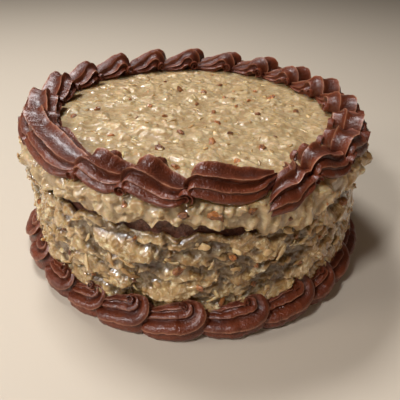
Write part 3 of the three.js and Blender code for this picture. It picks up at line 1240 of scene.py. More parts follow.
@dataclass
class TopCoat:
    """The nearly level coat on the top, with its ragged lip over the edge.

    Args:
        relief: The solids' low forms.
        flakes: What is pressed on the top.
        lip_flakes: What is pressed on the lip.
        cells: Size of the cells of the two pressed reliefs.
        rings: Rings from the middle to the rope.
        ring_step: How many points each ring has more than the one inside it.
        profile: The lip's cross-section: radius and height, from the top round to the underside.
        lip_rows: Distances along it of the first rows.
        lip_step: Start of the even rows after them, and the distance between two.
        lip_sheet: Where along it the pressed relief starts, and how far it goes.
        lip_span: Where along it the side of the lip starts and is full.
        lip_open: Where along it toppings may lie.
        drop_span: Depths under the top where the lip starts to drop and drops in full.
        slope: Depth under the top by which the drop has its full size, and the power that it grows with.
        skirt: Depth, seed and cells of the two fine waves of the lower edge.
        proud: How far the pressed relief stands out on the lip.
        lit: The relief mark of a level place, and its rise for each mm on the top; the mark paints shade in
            hollows and light on humps.
        lip_lit: How much higher the mark is on the lip, which paints it lighter, and its rise for each mm
            there.
        dull: The marks of the underside, low for painted shade.
        under: Radius of the underside's inner row.
    """

    relief: Relief
    flakes: tuple = (
        Flakes(420, 71, (6, 14), (5, 11), (0.4, 1.1), 3.1, 0.6, softened=3),
        Flakes(1000, 72, (3, 9), (2.2, 4.4), (0.2, 0.5), 3.1, 0.85, softened=2),
        Flakes(900, 73, (1.5, 4), (1.2, 2.4), (0.15, 0.5), 3.1, 0.9, softened=1),
    )
    lip_flakes: tuple = (
        Flakes(130, 74, (8, 20), (4, 9), (0.8, 2.2), 0.8, 0.4, 0.3, softened=1),
        Flakes(560, 75, (3, 9), (1.8, 4.6), (0.7, 1.8), 1.2, 0.8, 0.2),
        Flakes(500, 76, (2, 4), (1.2, 2.4), (0.3, 1.0), 3.1, 0.9),
    )
    cells: tuple = (0.5, 0.6)
    rings: int = 112
    ring_step: int = 8
    profile: tuple = (
        (92, 88.9), (100, 88.9), (108.2, 88.9), (110.6, 87.8), (111.9, 86.2), (112.9, 83.8), (113.2, 81.4),
        (113.1, 79.0), (112.6, 77.1), (111.4, 75.8), (109.2, 74.9), (108.2, 75.1),
    )
    lip_rows: tuple = (4, 10)
    lip_step: tuple = (16, 0.8)
    lip_sheet: tuple = (14, 30)
    lip_span: tuple = (15, 20)
    lip_open: tuple = (18, 32)
    drop_span: tuple = (4, 11)
    slope: tuple = (14, 0.5)
    skirt: tuple = ((1.6, 35, 130), (1.1, 36, 290))
    proud: float = 1.1
    lit: tuple = (0.66, 0.13)
    lip_lit: tuple = (0.16, 0.4)
    dull: float = 0.35
    under: float = 60.0

    def make(self, material: Material) -> Piece:
        """Makes the coat.

        Args:
            material: Its finish.

        Returns:
            The piece, with relief marks of painted shade and light, tint and wet marks, and a spread mark
            where toppings may lie.
        """
        side = 2 * ROPE_INNER + 12
        sheet = ReliefMap(side, side, self.cells[0], False, self.flakes)
        lip = ReliefMap(TAU * LIP_RADIUS, self.lip_sheet[1], self.cells[1], True, self.lip_flakes)
        rows = [(np.array([[0, 0, CAKE_HEIGHT]]), self.lit[0], 0.5, 1, 0)]
        rows += [self._ring(k, sheet) for k in range(1, self.rings + 1)]
        counts = [len(row[0]) for row in rows]
        starts = np.cumsum([0, *counts]).tolist()
        faces = [(0, 1 + j, 1 + (j + 1) % counts[1]) for j in range(counts[1])]
        for k in range(2, len(rows)):
            faces += bridge(starts[k - 1], counts[k - 1], starts[k], counts[k])
        columns, edge = counts[-1], starts[-2]
        lip_rows = self._lip_rows(np.arange(columns) / columns, lip)
        faces += [tuple(f[::-1]) for f in quads(len(lip_rows) + 1, columns, False, edge)]
        rows += lip_rows
        total = edge + (len(lip_rows) + 1) * columns
        rows.append((np.array([[0, 0, SPONGE_HEIGHT + GAP]]), 0.5, 0.5, 0, 0))
        last = total - columns
        faces += [(total, last + (j + 1) % columns, last + j) for j in range(columns)]
        points, marks, tints, spreads, wet = stack_rows(rows)
        values = {"relief": marks, "tint": tints, "spread": spreads, "wet": wet}
        return finished("top_coat", points, faces, material, **values)

    def _ring(self, k: int, sheet: ReliefMap) -> tuple:
        """Makes one ring of the top.

        Args:
            k: Its number, from the middle.
            sheet: The pressed relief of the top.

        Returns:
            Its points and its relief, tint, spread and wet marks.
        """
        count = self.ring_step * k
        turn = np.arange(count) / count
        radius = k * ((ROPE_INNER + 1) / self.rings)
        flat = polar(radius, turn * TAU, 0.0)
        half = 0.5 * sheet.width
        rough, tint = sheet.read(flat[:, 0] + half, flat[:, 1] + half)
        shown = 1 - 0.5 * smoothstep(radius, ROPE_INNER - 1, ROPE_INNER + 1)
        flat[:, 2] = CAKE_HEIGHT + self.relief.top(turn, radius) + shown * rough
        # The relief mark follows the pressed relief: painted shade in the hollows, painted light on the
        # humps.
        level, gain = self.lit
        return flat, np.clip(level + gain * rough, 0, 1), tint, float(radius < ROPE_INNER - 4), 0

    def _lip_rows(self, turn: Array, lip: ReliefMap) -> list[tuple]:
        """Rows of the lip, from the edge of the top round to the middle of the underside.

        Args:
            turn: Share of a full turn of each column.
            lip: The lip's relief.

        Returns:
            For each row its points and its relief, tint, spread and wet marks.
        """
        corners = np.array(self.profile)
        length = np.concatenate([[0], np.cumsum(np.hypot(*np.diff(corners, axis=0).T))])
        start, step = self.lip_step
        high, low = self.drop_span
        slope, power = self.slope
        drop, bulge = self.relief.lip_drop(turn), self.relief.lip_bulge(turn)
        fine = ragged_edge(turn, self.skirt)
        rows = []
        for s in [*self.lip_rows, *np.arange(start, length[-1], step)]:
            r = float(np.interp(s, length, corners[:, 0]))
            z = float(np.interp(s, length, corners[:, 1]))
            fall = 1 - float(smoothstep(z, CAKE_HEIGHT - low, CAKE_HEIGHT - high))
            fall = fall if r > SPONGE_RADIUS else 0.0
            side = float(smoothstep(s, *self.lip_span))
            rough, tint = lip.read(turn * lip.width, s - self.lip_sheet[0])
            radius = np.maximum(r + side * (bulge + self.proud * rough), BORE)
            height = z - fall * (drop + fine) * float(np.clip((CAKE_HEIGHT - z) / slope, 0, 1)) ** power
            # The lip's relief mark is raised, painted light, and follows its relief, painted shade in its
            # hollows.
            mark = np.clip(self.lit[0] + self.lip_lit[0] * side + self.lip_lit[1] * side * rough, 0, 1)
            open_lip = float(self.lip_open[0] < s < self.lip_open[1])
            rows.append((polar(radius, turn * TAU, height), mark, tint, open_lip, side))
        # The underside takes the dull marks: painted shade under the lip.
        for r, z in ((BORE, STRIP_TOP), (BORE, SPONGE_HEIGHT + GAP), (self.under, SPONGE_HEIGHT + GAP)):
            rows.append((polar(r, turn * TAU, z), self.dull, self.dull, 0, 0))
        return rows


# ---- Piping ------------------------------------------------------------------------------------------


@dataclass(frozen=True)
class ShellKey:
    """The cross-section of a piped shell at one place along it.

    Args:
        at: Share of the shell's length.
        ridges: Each ridge's distance out from the ring and height, from the outer low one inward.
        base: The same for where it stands, outside and inside.
    """

    at: float
    ridges: tuple
    base: tuple

    def values(self) -> Array:
        """Returns all its numbers in a row."""
        return np.concatenate([np.ravel(self.ridges), np.ravel(self.base)])


@dataclass(frozen=True)
class Band:
    """The surface between two ridges of a shell.

    Args:
        depth: Greatest depth of its groove in mm.
        skew: How near the groove lies to the second ridge: 1 is halfway, higher is nearer.
        crown: How far the rest of the band stands out.
        mirrored: Whether the groove lies near the first ridge instead.
        limits: Most depth and crown, as shares of the band's width.
    """

    depth: float
    skew: float = 1.0
    crown: float = 0.0
    mirrored: bool = False
    limits: tuple = (0.45, 0.2)

    def dip(self, share: Array, size: float) -> Array:
        """Returns how deep the band lies under the straight line between its ridges.

        Args:
            share: Places across the band, from 0 to 1.
            size: The band's width in mm.

        Returns:
            The depth at each place.
        """
        deepest, highest = self.limits
        spot = 1 - share if self.mirrored else share
        groove = min(self.depth, deepest * size) * np.sin(math.pi * spot**self.skew)
        return groove - min(self.crown, highest * size) * np.sin(math.pi * share)


RIBBON_SECTION = ((1, 0.35), (0, 1.0), (-1, 0.35), (-1, -0.35), (0, -1.0), (1, -0.35))


@dataclass(frozen=True)
class Curl:
    """A small ribbon that rolls up at a shell's nose.

    Args:
        centre: Its distance behind the nose's front, out and up, in mm.
        axis: Out and up parts of its axis.
        radius: Its outer radius.
        width: Width of the ribbon.
        turns: How many turns it makes.
        thick: Thickness of the ribbon.
        taper: How much its radius, width and thickness shrink towards its end.
        steps: Sections along it.
    """

    centre: tuple
    axis: tuple
    radius: float
    width: float
    turns: float = 1.6
    thick: float = 1.0
    taper: tuple = (0.8, 0.4, 0.3)
    steps: int = 26

    def ribbon(self, size: float, spin: float) -> tuple[Array, list[tuple]]:
        """Makes the ribbon.

        Args:
            size: Its size as a share of the usual one.
            spin: Angle that it starts at, in radians.

        Returns:
            Points as along, out and up, and faces.
        """
        axis = np.array([0.0, *self.axis])
        radial = np.array([0.0, -self.axis[1], self.axis[0]])
        points = []
        for i in range(self.steps + 1):
            share = i / self.steps
            shrunk, narrowed, thinned = (1 - taper * share for taper in self.taper)
            angle = spin + TAU * self.turns * share
            outward = math.cos(angle) * np.array([1.0, 0, 0]) + math.sin(angle) * radial
            middle = np.array(self.centre) + self.radius * size * shrunk * outward
            half, deep = 0.5 * self.width * narrowed * size, 0.5 * self.thick * thinned
            points += [middle + a * half * axis + b * deep * outward for a, b in RIBBON_SECTION]
        return np.array(points), tube_faces(self.steps + 1, len(RIBBON_SECTION))


@dataclass(frozen=True)
class ShellForm:
    """How one kind of shell is piped.

    Args:
        keys: Its cross-sections, from the crest of its nose to its tail.
        bands: The surfaces between its foot and each ridge in turn.
        edges: How strong the painted highlight along each ridge is, from 0 to 1.
        eye: Distance out and height of the point that the nose curls round.
        eye_tilt: Angle of the curl's axis over outward, in radians.
        eye_at: Distance of the eye from the nose's front, in mm.
        curl: How far the nose curls back under itself, in radians.
        narrow: Width of the curl's start, as a share of the crest.
        depth: How far the nose reaches, in mm, that the eye's distance stands for.
        lag: How far the nose lies behind for each mm inward.
        curls: The small ribbons at the nose.
    """

    keys: tuple
    bands: tuple
    edges: tuple
    eye: tuple
    eye_tilt: float
    eye_at: float
    curl: float = 4.6
    narrow: float = 0.25
    depth: float = 11.0
    lag: float = 0.0
    curls: tuple = ()


TOP_FORM = ShellForm(
    keys=(
        ShellKey(0.0, ((12.8, 4.6), (11.2, 8.8), (8.2, 14.0), (-2.6, 15.6), (-10.2, 11.2), (-12.2, 5.6)),
                 ((9.0, 4.0), (-7, 4.0))),
        ShellKey(0.19, ((13.6, 2.8), (11.8, 7.6), (8.8, 13.2), (-3.2, 14.6), (-10.4, 10), (-12.4, 4.4)),
                 ((11.0, 0.4), (-8, 1.4))),
        ShellKey(0.42, ((13.8, 1.0), (12.2, 5.4), (8.4, 10.8), (-4.0, 12.2), (-9.8, 7.4), (-11.6, 3.0)),
                 ((11.8, -1.6), (-9, 0.0))),
        ShellKey(0.7, ((13.6, 0.2), (12.0, 3.8), (7.6, 8.0), (-4.8, 9.0), (-9.8, 4.8), (-11, 1.8)),
                 ((11.8, -1.8), (-9, 0.0))),
        ShellKey(0.88, ((11.6, 1.0), (10.0, 3.8), (6.0, 6.9), (-5.2, 7.3), (-9.4, 3.9), (-10, 1.6)),
                 ((9.8, -0.6), (-8.5, 0.0))),
        ShellKey(1.0, ((7.6, 1.4), (6.2, 3.8), (3.2, 6.0), (-4.8, 5.8), (-8.4, 3.1), (-8.8, 1.3)),
                 ((6.0, 0.0), (-7.6, 0.0))),
        ShellKey(1.22, ((1.8, 1.2), (0.8, 2.8), (-0.6, 4.2), (-4.2, 3.8), (-6.6, 2.0), (-7, 0.9)),
                 ((1.0, 0.0), (-6, 0.0))),
    ),
    bands=(
        Band(0.0, 1.0, 0.3),
        Band(1.7, 2.2, 0.5),
        Band(3.0, 2.0, 0.3),
        Band(2.0, 1.3),
        Band(1.8, 1.3, 0.0, True),
        Band(2.6, 1.6, 0.0, True),
        Band(1.2, 1.4, 0.0, True),
    ),
    edges=(0.0, 1.0, 1.0, 0.9, 1.0, 0.8),
    eye=(0.0, 4.0),
    eye_tilt=0.0,
    eye_at=7.5,
    lag=0.4,
    curls=(
        Curl((3.8, 11.0, 2.8), (1.0, 0.0), 3.3, 5.0),
        Curl((10.5, -10.6, 4.6), (1.0, 0.0), 3.6, 3.4),
    ),
)

# The shell whose nose hangs over the edge: its cross-section, its lowest point, how far its nose reaches,
# and how small it gets at its tip, and how quickly.
SLUMPED_KEY = ShellKey(0.0, ((15.4, -8.5), (15.8, -2.6), (12.0, 5.0), (5.0, 8.6), (-2.4, 6.0), (-4.6, 2.4)),
                       ((12.8, -9.5), (-3, 0.0)))
SLUMPED_TIP = (14.2, -10.0)
SLUMPED_REACH = 13.0
SLUMPED_LEAST = 0.02
SLUMPED_POWER = 0.9

FOOT_FORM = ShellForm(
    keys=(
        ShellKey(0.0, ((8.6, 0.7), (11.8, 10.2), (6.6, 16.6), (3.1, 19.9), (0.4, 22.6)),
                 ((8.0, 0.2), (0.3, 0.2))),
        ShellKey(0.25, ((9.0, 0.7), (12.0, 9.8), (6.5, 16.0), (2.9, 19.1), (0.4, 21.2)),
                 ((8.2, 0.2), (0.3, 0.2))),
        ShellKey(0.55, ((8.4, 0.7), (11.4, 8.8), (5.9, 14.5), (2.5, 17.2), (0.4, 18.8)),
                 ((7.4, 0.2), (0.3, 0.2))),
        ShellKey(0.9, ((6.4, 0.7), (9.4, 7.6), (4.6, 12.7), (1.9, 15.0), (0.4, 16.2)),
                 ((5.6, 0.2), (0.3, 0.2))),
        ShellKey(1.15, ((3.6, 0.7), (5.6, 6.4), (2.8, 10.4), (1.3, 12.1), (0.4, 13.0)),
                 ((3.0, 0.2), (0.3, 0.2))),
    ),
    bands=(
        Band(0.0),
        Band(2.8, 3.2, 1.1),
        Band(3.0, 3.2, 1.1),
        Band(2.0, 2.6, 0.4),
        Band(1.4, 2.0),
        Band(0.0),
    ),
    edges=(0.0, 1.0, 1.0, 1.0, 0.8),
    eye=(0.6, 19.6),
    eye_tilt=0.25 * math.pi,
    eye_at=14.0,
    curl=3.4,
    narrow=0.2,
    depth=14.5,
    curls=(Curl((13.0, 2.4, 20.8), (0.707, 0.707), 2.7, 3.0, 1.5, 0.8),),
)


@dataclass
class PipedRope:
    """One rope of shells, piped round the cake.

    Args:
        name: Name of the piece.
        form: How its shells are piped.
        ring: Radius of the ring it follows.
        base: Height that it stands on.
        shown: Azimuths of the noses at the front, in degrees, in the order of piping.
        total: Number of shells.
        seed: Start of the random numbers.
        keep_out: Least distance out from the ring, if any, for a rope that stands on the ground.
        torn: Azimuth of a smaller shell, if any.
        slumped: Azimuth of a shell whose nose hangs over the edge, if any.
        swings: For a shell's azimuth, how far its tail swings outward.
        ragged: How uneven the ridges are, in mm.
        sizes: Least and most size of a shell, as a share of the usual one.
        tail_swing: Least and most swing of a tail outward, in mm, where none is given.
        back_lift: Least and most rise of a shell's back.
        curl_sizes: Least and most size of a small ribbon, as a share of the usual one.
        curl_spin: Most that one is turned, in radians.
        curl_steps: Sections round the curl of a nose.
        body_steps: Sections from the nose's crest to the tail.
        sharp: Angle in degrees from which an edge stays sharp.
    """

    name: str
    form: ShellForm
    ring: float
    base: float
    shown: tuple
    total: int
    seed: int
    keep_out: float | None = None
    torn: float | None = None
    slumped: float | None = None
    swings: dict = field(default_factory=dict)
    ragged: float = 0.3
    sizes: tuple = (0.95, 1.05)
    tail_swing: tuple = (-1.5, 2.5)
    back_lift: tuple = (-0.6, 0.8)
    curl_sizes: tuple = (0.8, 1.15)
    curl_spin: float = 0.8
    curl_steps: int = 22
    body_steps: int = 28
    sharp: float = 38.0

    def starts(self) -> list[float]:
        """Returns the azimuth of each nose, in degrees, with the unseen ones evenly spaced."""
        starts = list(self.shown)
        travel = math.copysign(1, starts[1] - starts[0])
        rest = starts[0] + travel * 360 - starts[-1]
        missing = self.total - len(starts) + 1
        return starts + [starts[-1] + rest * i / missing for i in range(1, missing)]

    def section(self, values: Array, along: float, shell: float) -> tuple[Array, Array]:
        """Turns key values into an outline.

        Args:
            values: A key's numbers.
            along: Distance along the shell, which places the unevenness of the ridges.
            shell: The shell's azimuth, which does so too.

        Returns:
            Points of the outline as out and up, and each one's crest mark from 0 to 1: painted shade in
            grooves, painted highlight on ridges.
        """
        count = len(self.form.edges)
        ridges = values[: 2 * count].reshape(count, 2)
        between, turned, shells = RIDGE_STEPS
        spots = [(along, between * i + turned * k, shells * shell) for i in range(count) for k in range(2)]
        uneven = layered_noise(np.array(spots), RIDGE_GRAIN, self.seed, 2).reshape(count, 2)
        ridges = ridges + self.ragged * uneven
        outer, inner = values[2 * count :].reshape(2, 2)
        corners = [outer, *ridges, inner]
        edges = [0.0, *self.form.edges, 0.0]
        points, crest = [], []
        for i, band in enumerate(self.form.bands):
            a, b = np.array(corners[i]), np.array(corners[i + 1])
            run = b - a
            size = max(float(np.hypot(*run)), TINY)
            inward = np.array([-run[1], run[0]]) / size
            dip = band.dip(BAND_SHARES, size)
            points.append(a + run * BAND_SHARES[:, None] + inward * dip[:, None])
            # Painted shade deepens with the groove; a painted highlight runs along each ridge and, weaker,
            # beside it.
            band_shading = CALM * (1 - np.clip(dip / FULL_GROOVE, 0, 1))
            beside, ahead = BESIDE_RIDGE * edges[i], BESIDE_RIDGE * edges[i + 1]
            for spot, edge in ((0, edges[i]), (1, beside), (-1, ahead)):
                band_shading[spot] = CALM + (1 - CALM) * edge
            crest.append(band_shading)
        points.append(np.array([inner]))
        crest.append(np.full(1, CALM))
        return np.concatenate(points), np.concatenate(crest)

    def _curled(self, outline: Array, psi: float, eye_at: float, size: float) -> Array:
        """Turns an outline round the eye of the nose.

        Args:
            outline: Points as out and up.
            psi: How far it is turned, in radians.
            eye_at: Distance of the eye from the nose's front.
            size: The shell's size.

        Returns:
            Rows of along, out and up.
        """
        form = self.form
        upright = form.eye_tilt == 0
        eye = np.array([form.eye[0], form.eye[1] * size])
        axis = np.array([math.cos(form.eye_tilt), math.sin(form.eye_tilt)])
        radial = np.array([0.0, 1.0]) if upright else np.array([axis[1], -axis[0]])
        narrowing = float(smoothstep(psi, NARROW_FROM, form.curl)) ** NARROW_POWER
        grow = 1 - (1 - form.narrow) * narrowing
        height = (outline - eye) @ axis * (LEAST_TALL + (1 - LEAST_TALL) * grow if upright else 1.0)
        reach = (outline - eye) @ radial
        if upright:
            reach = np.maximum(reach, LEAST_REACH)
        reach = reach * grow
        flat = np.outer(height, axis) + np.outer(reach * math.cos(psi), radial)
        back = reach * math.sin(psi) * eye_at / form.depth
        return np.column_stack([eye_at - back, flat + eye])

    def shell(self, start: float, length: float, random: SeededRandom) -> tuple[Array, Array]:
        """Makes one shell on a straight line.

        Args:
            start: Its nose's azimuth in degrees.
            length: Distance to the next nose, in mm.
            random: The rope's random numbers.

        Returns:
            Rows of along, out and up for each section, and the crest marks of painted shade and highlight.
        """
        form = self.form
        size, swing, lift = (random.within(*span) for span in (self.sizes, self.tail_swing, self.back_lift))
        swing = self.swings.get(start, swing)
        if self.torn is not None:
            size *= 1 - TORN_SHARE * float(nearness(start, self.torn, TORN_WIDTH))
        hangs = start == self.slumped
        at = np.array([key.at for key in form.keys])
        table = np.stack([key.values() for key in form.keys])
        hung = SLUMPED_KEY.values() if hangs else table[0]
        eye_at = SLUMPED_REACH if hangs else min(form.eye_at, 0.5 * length)
        crest_out = form.keys[0].ridges[1][0]
        rows, crests = [], []
        for psi in np.linspace(form.curl, 0, self.curl_steps, endpoint=False):
            if hangs:
                turn = 0.5 * math.pi * psi / form.curl
                outline, crest = self.section(hung, -eye_at * math.sin(turn), start)
                shrunk = max(math.cos(turn), SLUMPED_LEAST) ** SLUMPED_POWER
                outline = SLUMPED_TIP + (outline - SLUMPED_TIP) * shrunk
                rows.append(np.column_stack([np.full(len(outline), eye_at * (1 - math.sin(turn))), outline]))
            else:
                outline, crest = self.section(table[0] * size, -CURL_STEP * psi, start)
                rows.append(self._curled(outline, psi, eye_at, size))
            rows[-1][:, 0] += form.lag * (crest_out - rows[-1][:, 1])
            crests.append(crest)
        for t in np.linspace(0, form.keys[-1].at, self.body_steps):
            hang = float(1 - smoothstep(t, *HANG_SPAN)) if hangs else 0.0
            values = hermite(at, table, t) * size
            along = t * (length - eye_at + TAIL_OVERLAP)
            outline, crest = self.section(values + (hung - values) * hang, along, start)
            outline[:, 0] += swing * float(smoothstep(t, *SWING_SPAN))
            free = smoothstep(outline[:, 1], 0, FREE_HEIGHT)
            outline[:, 1] += lift * float(smoothstep(t, *LIFT_SPAN)) * free
            lag = form.lag * float(1 - smoothstep(t, *LAG_SPAN))
            back = eye_at + along + lag * (crest_out - outline[:, 0])
            rows.append(np.column_stack([back, outline]))
            crests.append(crest)
        return np.stack(rows), np.stack(crests)

    def _parts(self, start: float, length: float, random: SeededRandom) -> list[tuple]:
        """Makes one shell and the small ribbons at its nose.

        Args:
            start: The nose's azimuth in degrees.
            length: Distance to the next nose, in mm.
            random: The rope's random numbers.

        Returns:
            For each of them its points as along, out and up, its crest marks of painted shade and highlight,
            and its faces.
        """
        rows, crest = self.shell(start, length, random)
        sections, around = rows.shape[:2]
        flat = rows.reshape(-1, 3)
        if self.keep_out is not None:
            flat[:, 1] = np.maximum(flat[:, 1], self.keep_out)
            flat[:, 2] = np.maximum(flat[:, 2], LEAST_HEIGHT)
        first = len(flat)
        faces = [tuple(f) for f in quads(sections, around, False)]
        faces += fans(0, sections, around, first, first + 1)
        flat = np.vstack([flat, flat[:around].mean(axis=0), flat[-around:].mean(axis=0)])
        parts = [(flat, np.concatenate([crest.ravel(), [CALM, CALM]]), faces)]
        for curl in () if start == self.slumped else self.form.curls:
            size = random.within(*self.curl_sizes)
            ribbon, strip = curl.ribbon(size, random.within(-self.curl_spin, self.curl_spin))
            parts.append((ribbon, np.full(len(ribbon), CALM), strip))
        return parts

    def straight_mesh(self) -> Mesh:
        """Returns all shells laid out straight: along, out and up."""
        random = SeededRandom(self.seed)
        starts = self.starts()
        travel = math.copysign(1, starts[1] - starts[0])
        points, crests, faces, total = [], [], [], 0
        for start, end in zip(starts, [*starts[1:], starts[0] + travel * 360]):
            length = abs(math.radians(end - start)) * self.ring
            for spots, crest, strip in self._parts(start, length, random):
                spots[:, 0] = math.radians(start) * self.ring + travel * spots[:, 0]
                points.append(spots)
                crests.append(crest)
                faces += [[total + n for n in (f if travel < 0 else f[::-1])] for f in strip]
                total += len(spots)
        # The crest mark carries the painted shade and highlight to the buttercream finish.
        return make_mesh(self.name, np.concatenate(points), faces, {"crest": np.concatenate(crests)})

    def make(self, tool: GeometryTool) -> Piece:
        """Makes the rope.

        Args:
            tool: The tree that wraps a straight mesh round a ring.

        Returns:
            The piece.
        """
        piece = tool.run(self.name, self.straight_mesh(), Ring=self.ring * MM, Base=self.base * MM)
        piece.data.set_sharp_from_angle(angle=math.radians(self.sharp))
        return piece


def hermite(at: Array, table: Array, t: float) -> Array:
    """Reads a smooth curve through a table's rows.

    Args:
        at: Place of each row.
        table: The rows.
        t: Where to read.

    Returns:
        The values there.
    """
    i = int(np.clip(np.searchsorted(at, t) - 1, 0, len(at) - 2))
    slopes = np.gradient(table, at, axis=0)
    width = at[i + 1] - at[i]
    x = (t - at[i]) / width
    h00, h10 = 2 * x**3 - 3 * x**2 + 1, x**3 - 2 * x**2 + x
    h01, h11 = 3 * x**2 - 2 * x**3, x**3 - x**2
    return h00 * table[i] + h10 * width * slopes[i] + h01 * table[i + 1] + h11 * width * slopes[i + 1]


def ring_tool(material: Material) -> GeometryTool:
    """Builds the tree that wraps a straight rope round a ring and roughens its skin.

    Args:
        material: The rope's finish.

    Returns:
        The tool, with inputs for the ring, the base, and the size and depth of ripples and grain.
    """
    tool = GeometryTool("Wrap round a ring", {
        "Ring": ("NodeSocketFloat", 0.1),
        "Base": ("NodeSocketFloat", 0.0),
        "Ripple Size": ("NodeSocketFloat", 0.006),
        "Ripple Depth": ("NodeSocketFloat", 0.0005),
        "Grain Size": ("NodeSocketFloat", 0.0014),
        "Grain Depth": ("NodeSocketFloat", 0.00012),
    })
    bench = tool.bench
    spot = bench.add("GeometryNodeInputPosition").outputs[0]
    parts = bench.put(bench.add("ShaderNodeSeparateXYZ"), Vector=spot)
    angle = bench.math("DIVIDE", parts.outputs["X"], tool.given("Ring"))
    radius = bench.math("ADD", parts.outputs["Y"], tool.given("Ring"))
    joined = bench.add("ShaderNodeCombineXYZ")
    bench.put(
        joined,
        X=bench.math("MULTIPLY", radius, bench.math("COSINE", angle)),
        Y=bench.math("MULTIPLY", radius, bench.math("SINE", angle)),
        Z=bench.math("ADD", parts.outputs["Z"], tool.given("Base")),
    )
    wrapped = bench.add("GeometryNodeSetPosition")
    geometry = bench.put(wrapped, Geometry=tool.given("Geometry"), Position=joined.outputs[0]).outputs[0]
    for size, depth in (("Ripple Size", "Ripple Depth"), ("Grain Size", "Grain Depth")):
        noise = bench.add("ShaderNodeTexNoise", noise_dimensions="3D")
        bench.put(noise, Vector=bench.add("GeometryNodeInputPosition").outputs[0], Detail=1.0)
        bench.put(noise, Scale=bench.math("DIVIDE", 1.0, tool.given(size)))
        push = bench.math("MULTIPLY", bench.math("SUBTRACT", noise.outputs[0], 0.5), tool.given(depth))
        normal = bench.add("GeometryNodeInputNormal").outputs[0]
        geometry = bench.moved(geometry, bench.scaled(normal, bench.math("MULTIPLY", push, 2.0)))
    tool.end(geometry, material)
    return tool


# ---- Toppings ----------------------------------------------------------------------------------------


class Bit(Enum):
    """The kinds of thing that lie in the frosting."""

    SHRED = "shred"
    FLAKE = "flake"
    PECAN = "pecan"
    CLUMP = "clump"


# A strip's cross-section, as shares of its half width and thickness. For each kind, in mm: least and most
# length, least and most width, and thickness.
STRIP_SECTION = ((1, -0.2), (0.75, 0.5), (-0.75, 0.5), (-1, -0.2), (0, -0.6))
STRIPS = {Bit.SHRED: ((5, 11), (1.4, 2.4), 1.0), Bit.FLAKE: ((3.5, 7), (2.4, 4.2), 0.7)}

# A nugget's least and most half length in mm, its width and height as shares of it, and how uneven it is.
NUGGETS = {Bit.PECAN: ((1.4, 3.6), (0.8, 0.5), 0.6), Bit.CLUMP: ((2.2, 5.0), (0.6, 0.3), 0.5)}


@dataclass
class BitMaker:
    """Makes a few models of each kind of topping, which the strewing then repeats.

    Args:
        models: How many of each kind.
        steps: Sections along a strip.
        bow: Most that a strip bows and waves, as shares of its length.
        lift: How high its middle lies, in mm.
        dive: Least and most that its ends dip.
        blunt: How blunt its ends are.
        roll: Most that it is twisted, in radians.
        uneven: Least and most of its width along it, and of each side's.
        rounds: How finely a nugget's ball is divided.
        bumps: Grain, seed and layers of a nugget's unevenness.
        scatter: How far apart the nuggets' patterns lie.
    """

    models: int = 7
    steps: int = 6
    bow: tuple = (0.2, 0.08)
    lift: float = 0.1
    dive: tuple = (0.5, 1.4)
    blunt: int = 6
    roll: float = 0.5
    uneven: tuple = ((0.65, 1.25), (0.8, 1.2))
    rounds: int = 2
    bumps: tuple = (0.9, 5, 2)
    scatter: float = 50.0

    def strip(self, random: SeededRandom, length: float, width: float, thick: float) -> tuple:
        """A flat curved strip with blunt ends that dip, lying in XY.

        Args:
            random: Its random numbers.
            length: Its length in mm.
            width: Its width.
            thick: Its thickness.

        Returns:
            Points and faces.
        """
        bow, wave = (random.within(-share, share) * length for share in self.bow)
        dive, roll = random.within(*self.dive), random.within(-self.roll, self.roll)
        along, sides = self.uneven
        points = []
        for i in range(self.steps + 1):
            t = 2 * i / self.steps - 1
            half = 0.5 * width * (1 - 0.5 * t**self.blunt) * random.within(*along)
            tilt = roll * t
            sideways = bow * (1 - t * t) + wave * t**3
            middle = np.array([0.5 * length * t, sideways, self.lift - dive * t * t])
            side = np.array([0, math.cos(tilt), math.sin(tilt)])
            up = np.array([0, -math.sin(tilt), math.cos(tilt)])
            left, right = random.within(*sides), random.within(*sides)
            for a, b in STRIP_SECTION:
                out = a * (left if a > 0 else right)
                points.append(middle + side * half * out + up * thick * b)
        return np.array(points), tube_faces(self.steps + 1, len(STRIP_SECTION))

    def nugget(self, random: SeededRandom, size: float, squash: tuple, rough: float) -> tuple:
        """A rough lump made from a ball.

        Args:
            random: Its random numbers.
            size: Its half length in mm.
            squash: Its width and height as shares of its length.
            rough: How uneven it is.

        Returns:
            Points and faces.
        """
        ball = bmesh.new()
        bmesh.ops.create_icosphere(ball, subdivisions=self.rounds, radius=1.0)
        points = np.array([v.co[:] for v in ball.verts])
        faces = [tuple(v.index for v in f.verts) for f in ball.faces]
        ball.free()
        shift = np.array([random.within(0, self.scatter) for _ in range(3)])
        lumps = 1 + rough * layered_noise(points + shift, *self.bumps)
        return points * lumps[:, None] * size * np.array([1, *squash]), faces

    def make(self, kind: Bit, seed: int) -> bpy.types.Collection:
        """Makes the models of one kind.

        Args:
            kind: Which kind.
            seed: Start of the random numbers.

        Returns:
            A collection of them that isn't in the scene.
        """
        random = SeededRandom(seed)
        group = bpy.data.collections.new(kind.value)
        for i in range(self.models):
            if kind in STRIPS:
                length, width, thick = STRIPS[kind]
                points, faces = self.strip(random, random.within(*length), random.within(*width), thick)
            else:
                size, squash, rough = NUGGETS[kind]
                points, faces = self.nugget(random, random.within(*size), squash, rough)
            mesh = make_mesh(f"{kind.value}_{i}", points, faces, {})
            if kind is Bit.PECAN:
                mesh.polygons.foreach_set("use_smooth", [False] * len(mesh.polygons))
            group.objects.link(bpy.data.objects.new(mesh.name, mesh))
        return group


# The highest number drawn for a model, counted round all of them.
LAST_PICK = 20


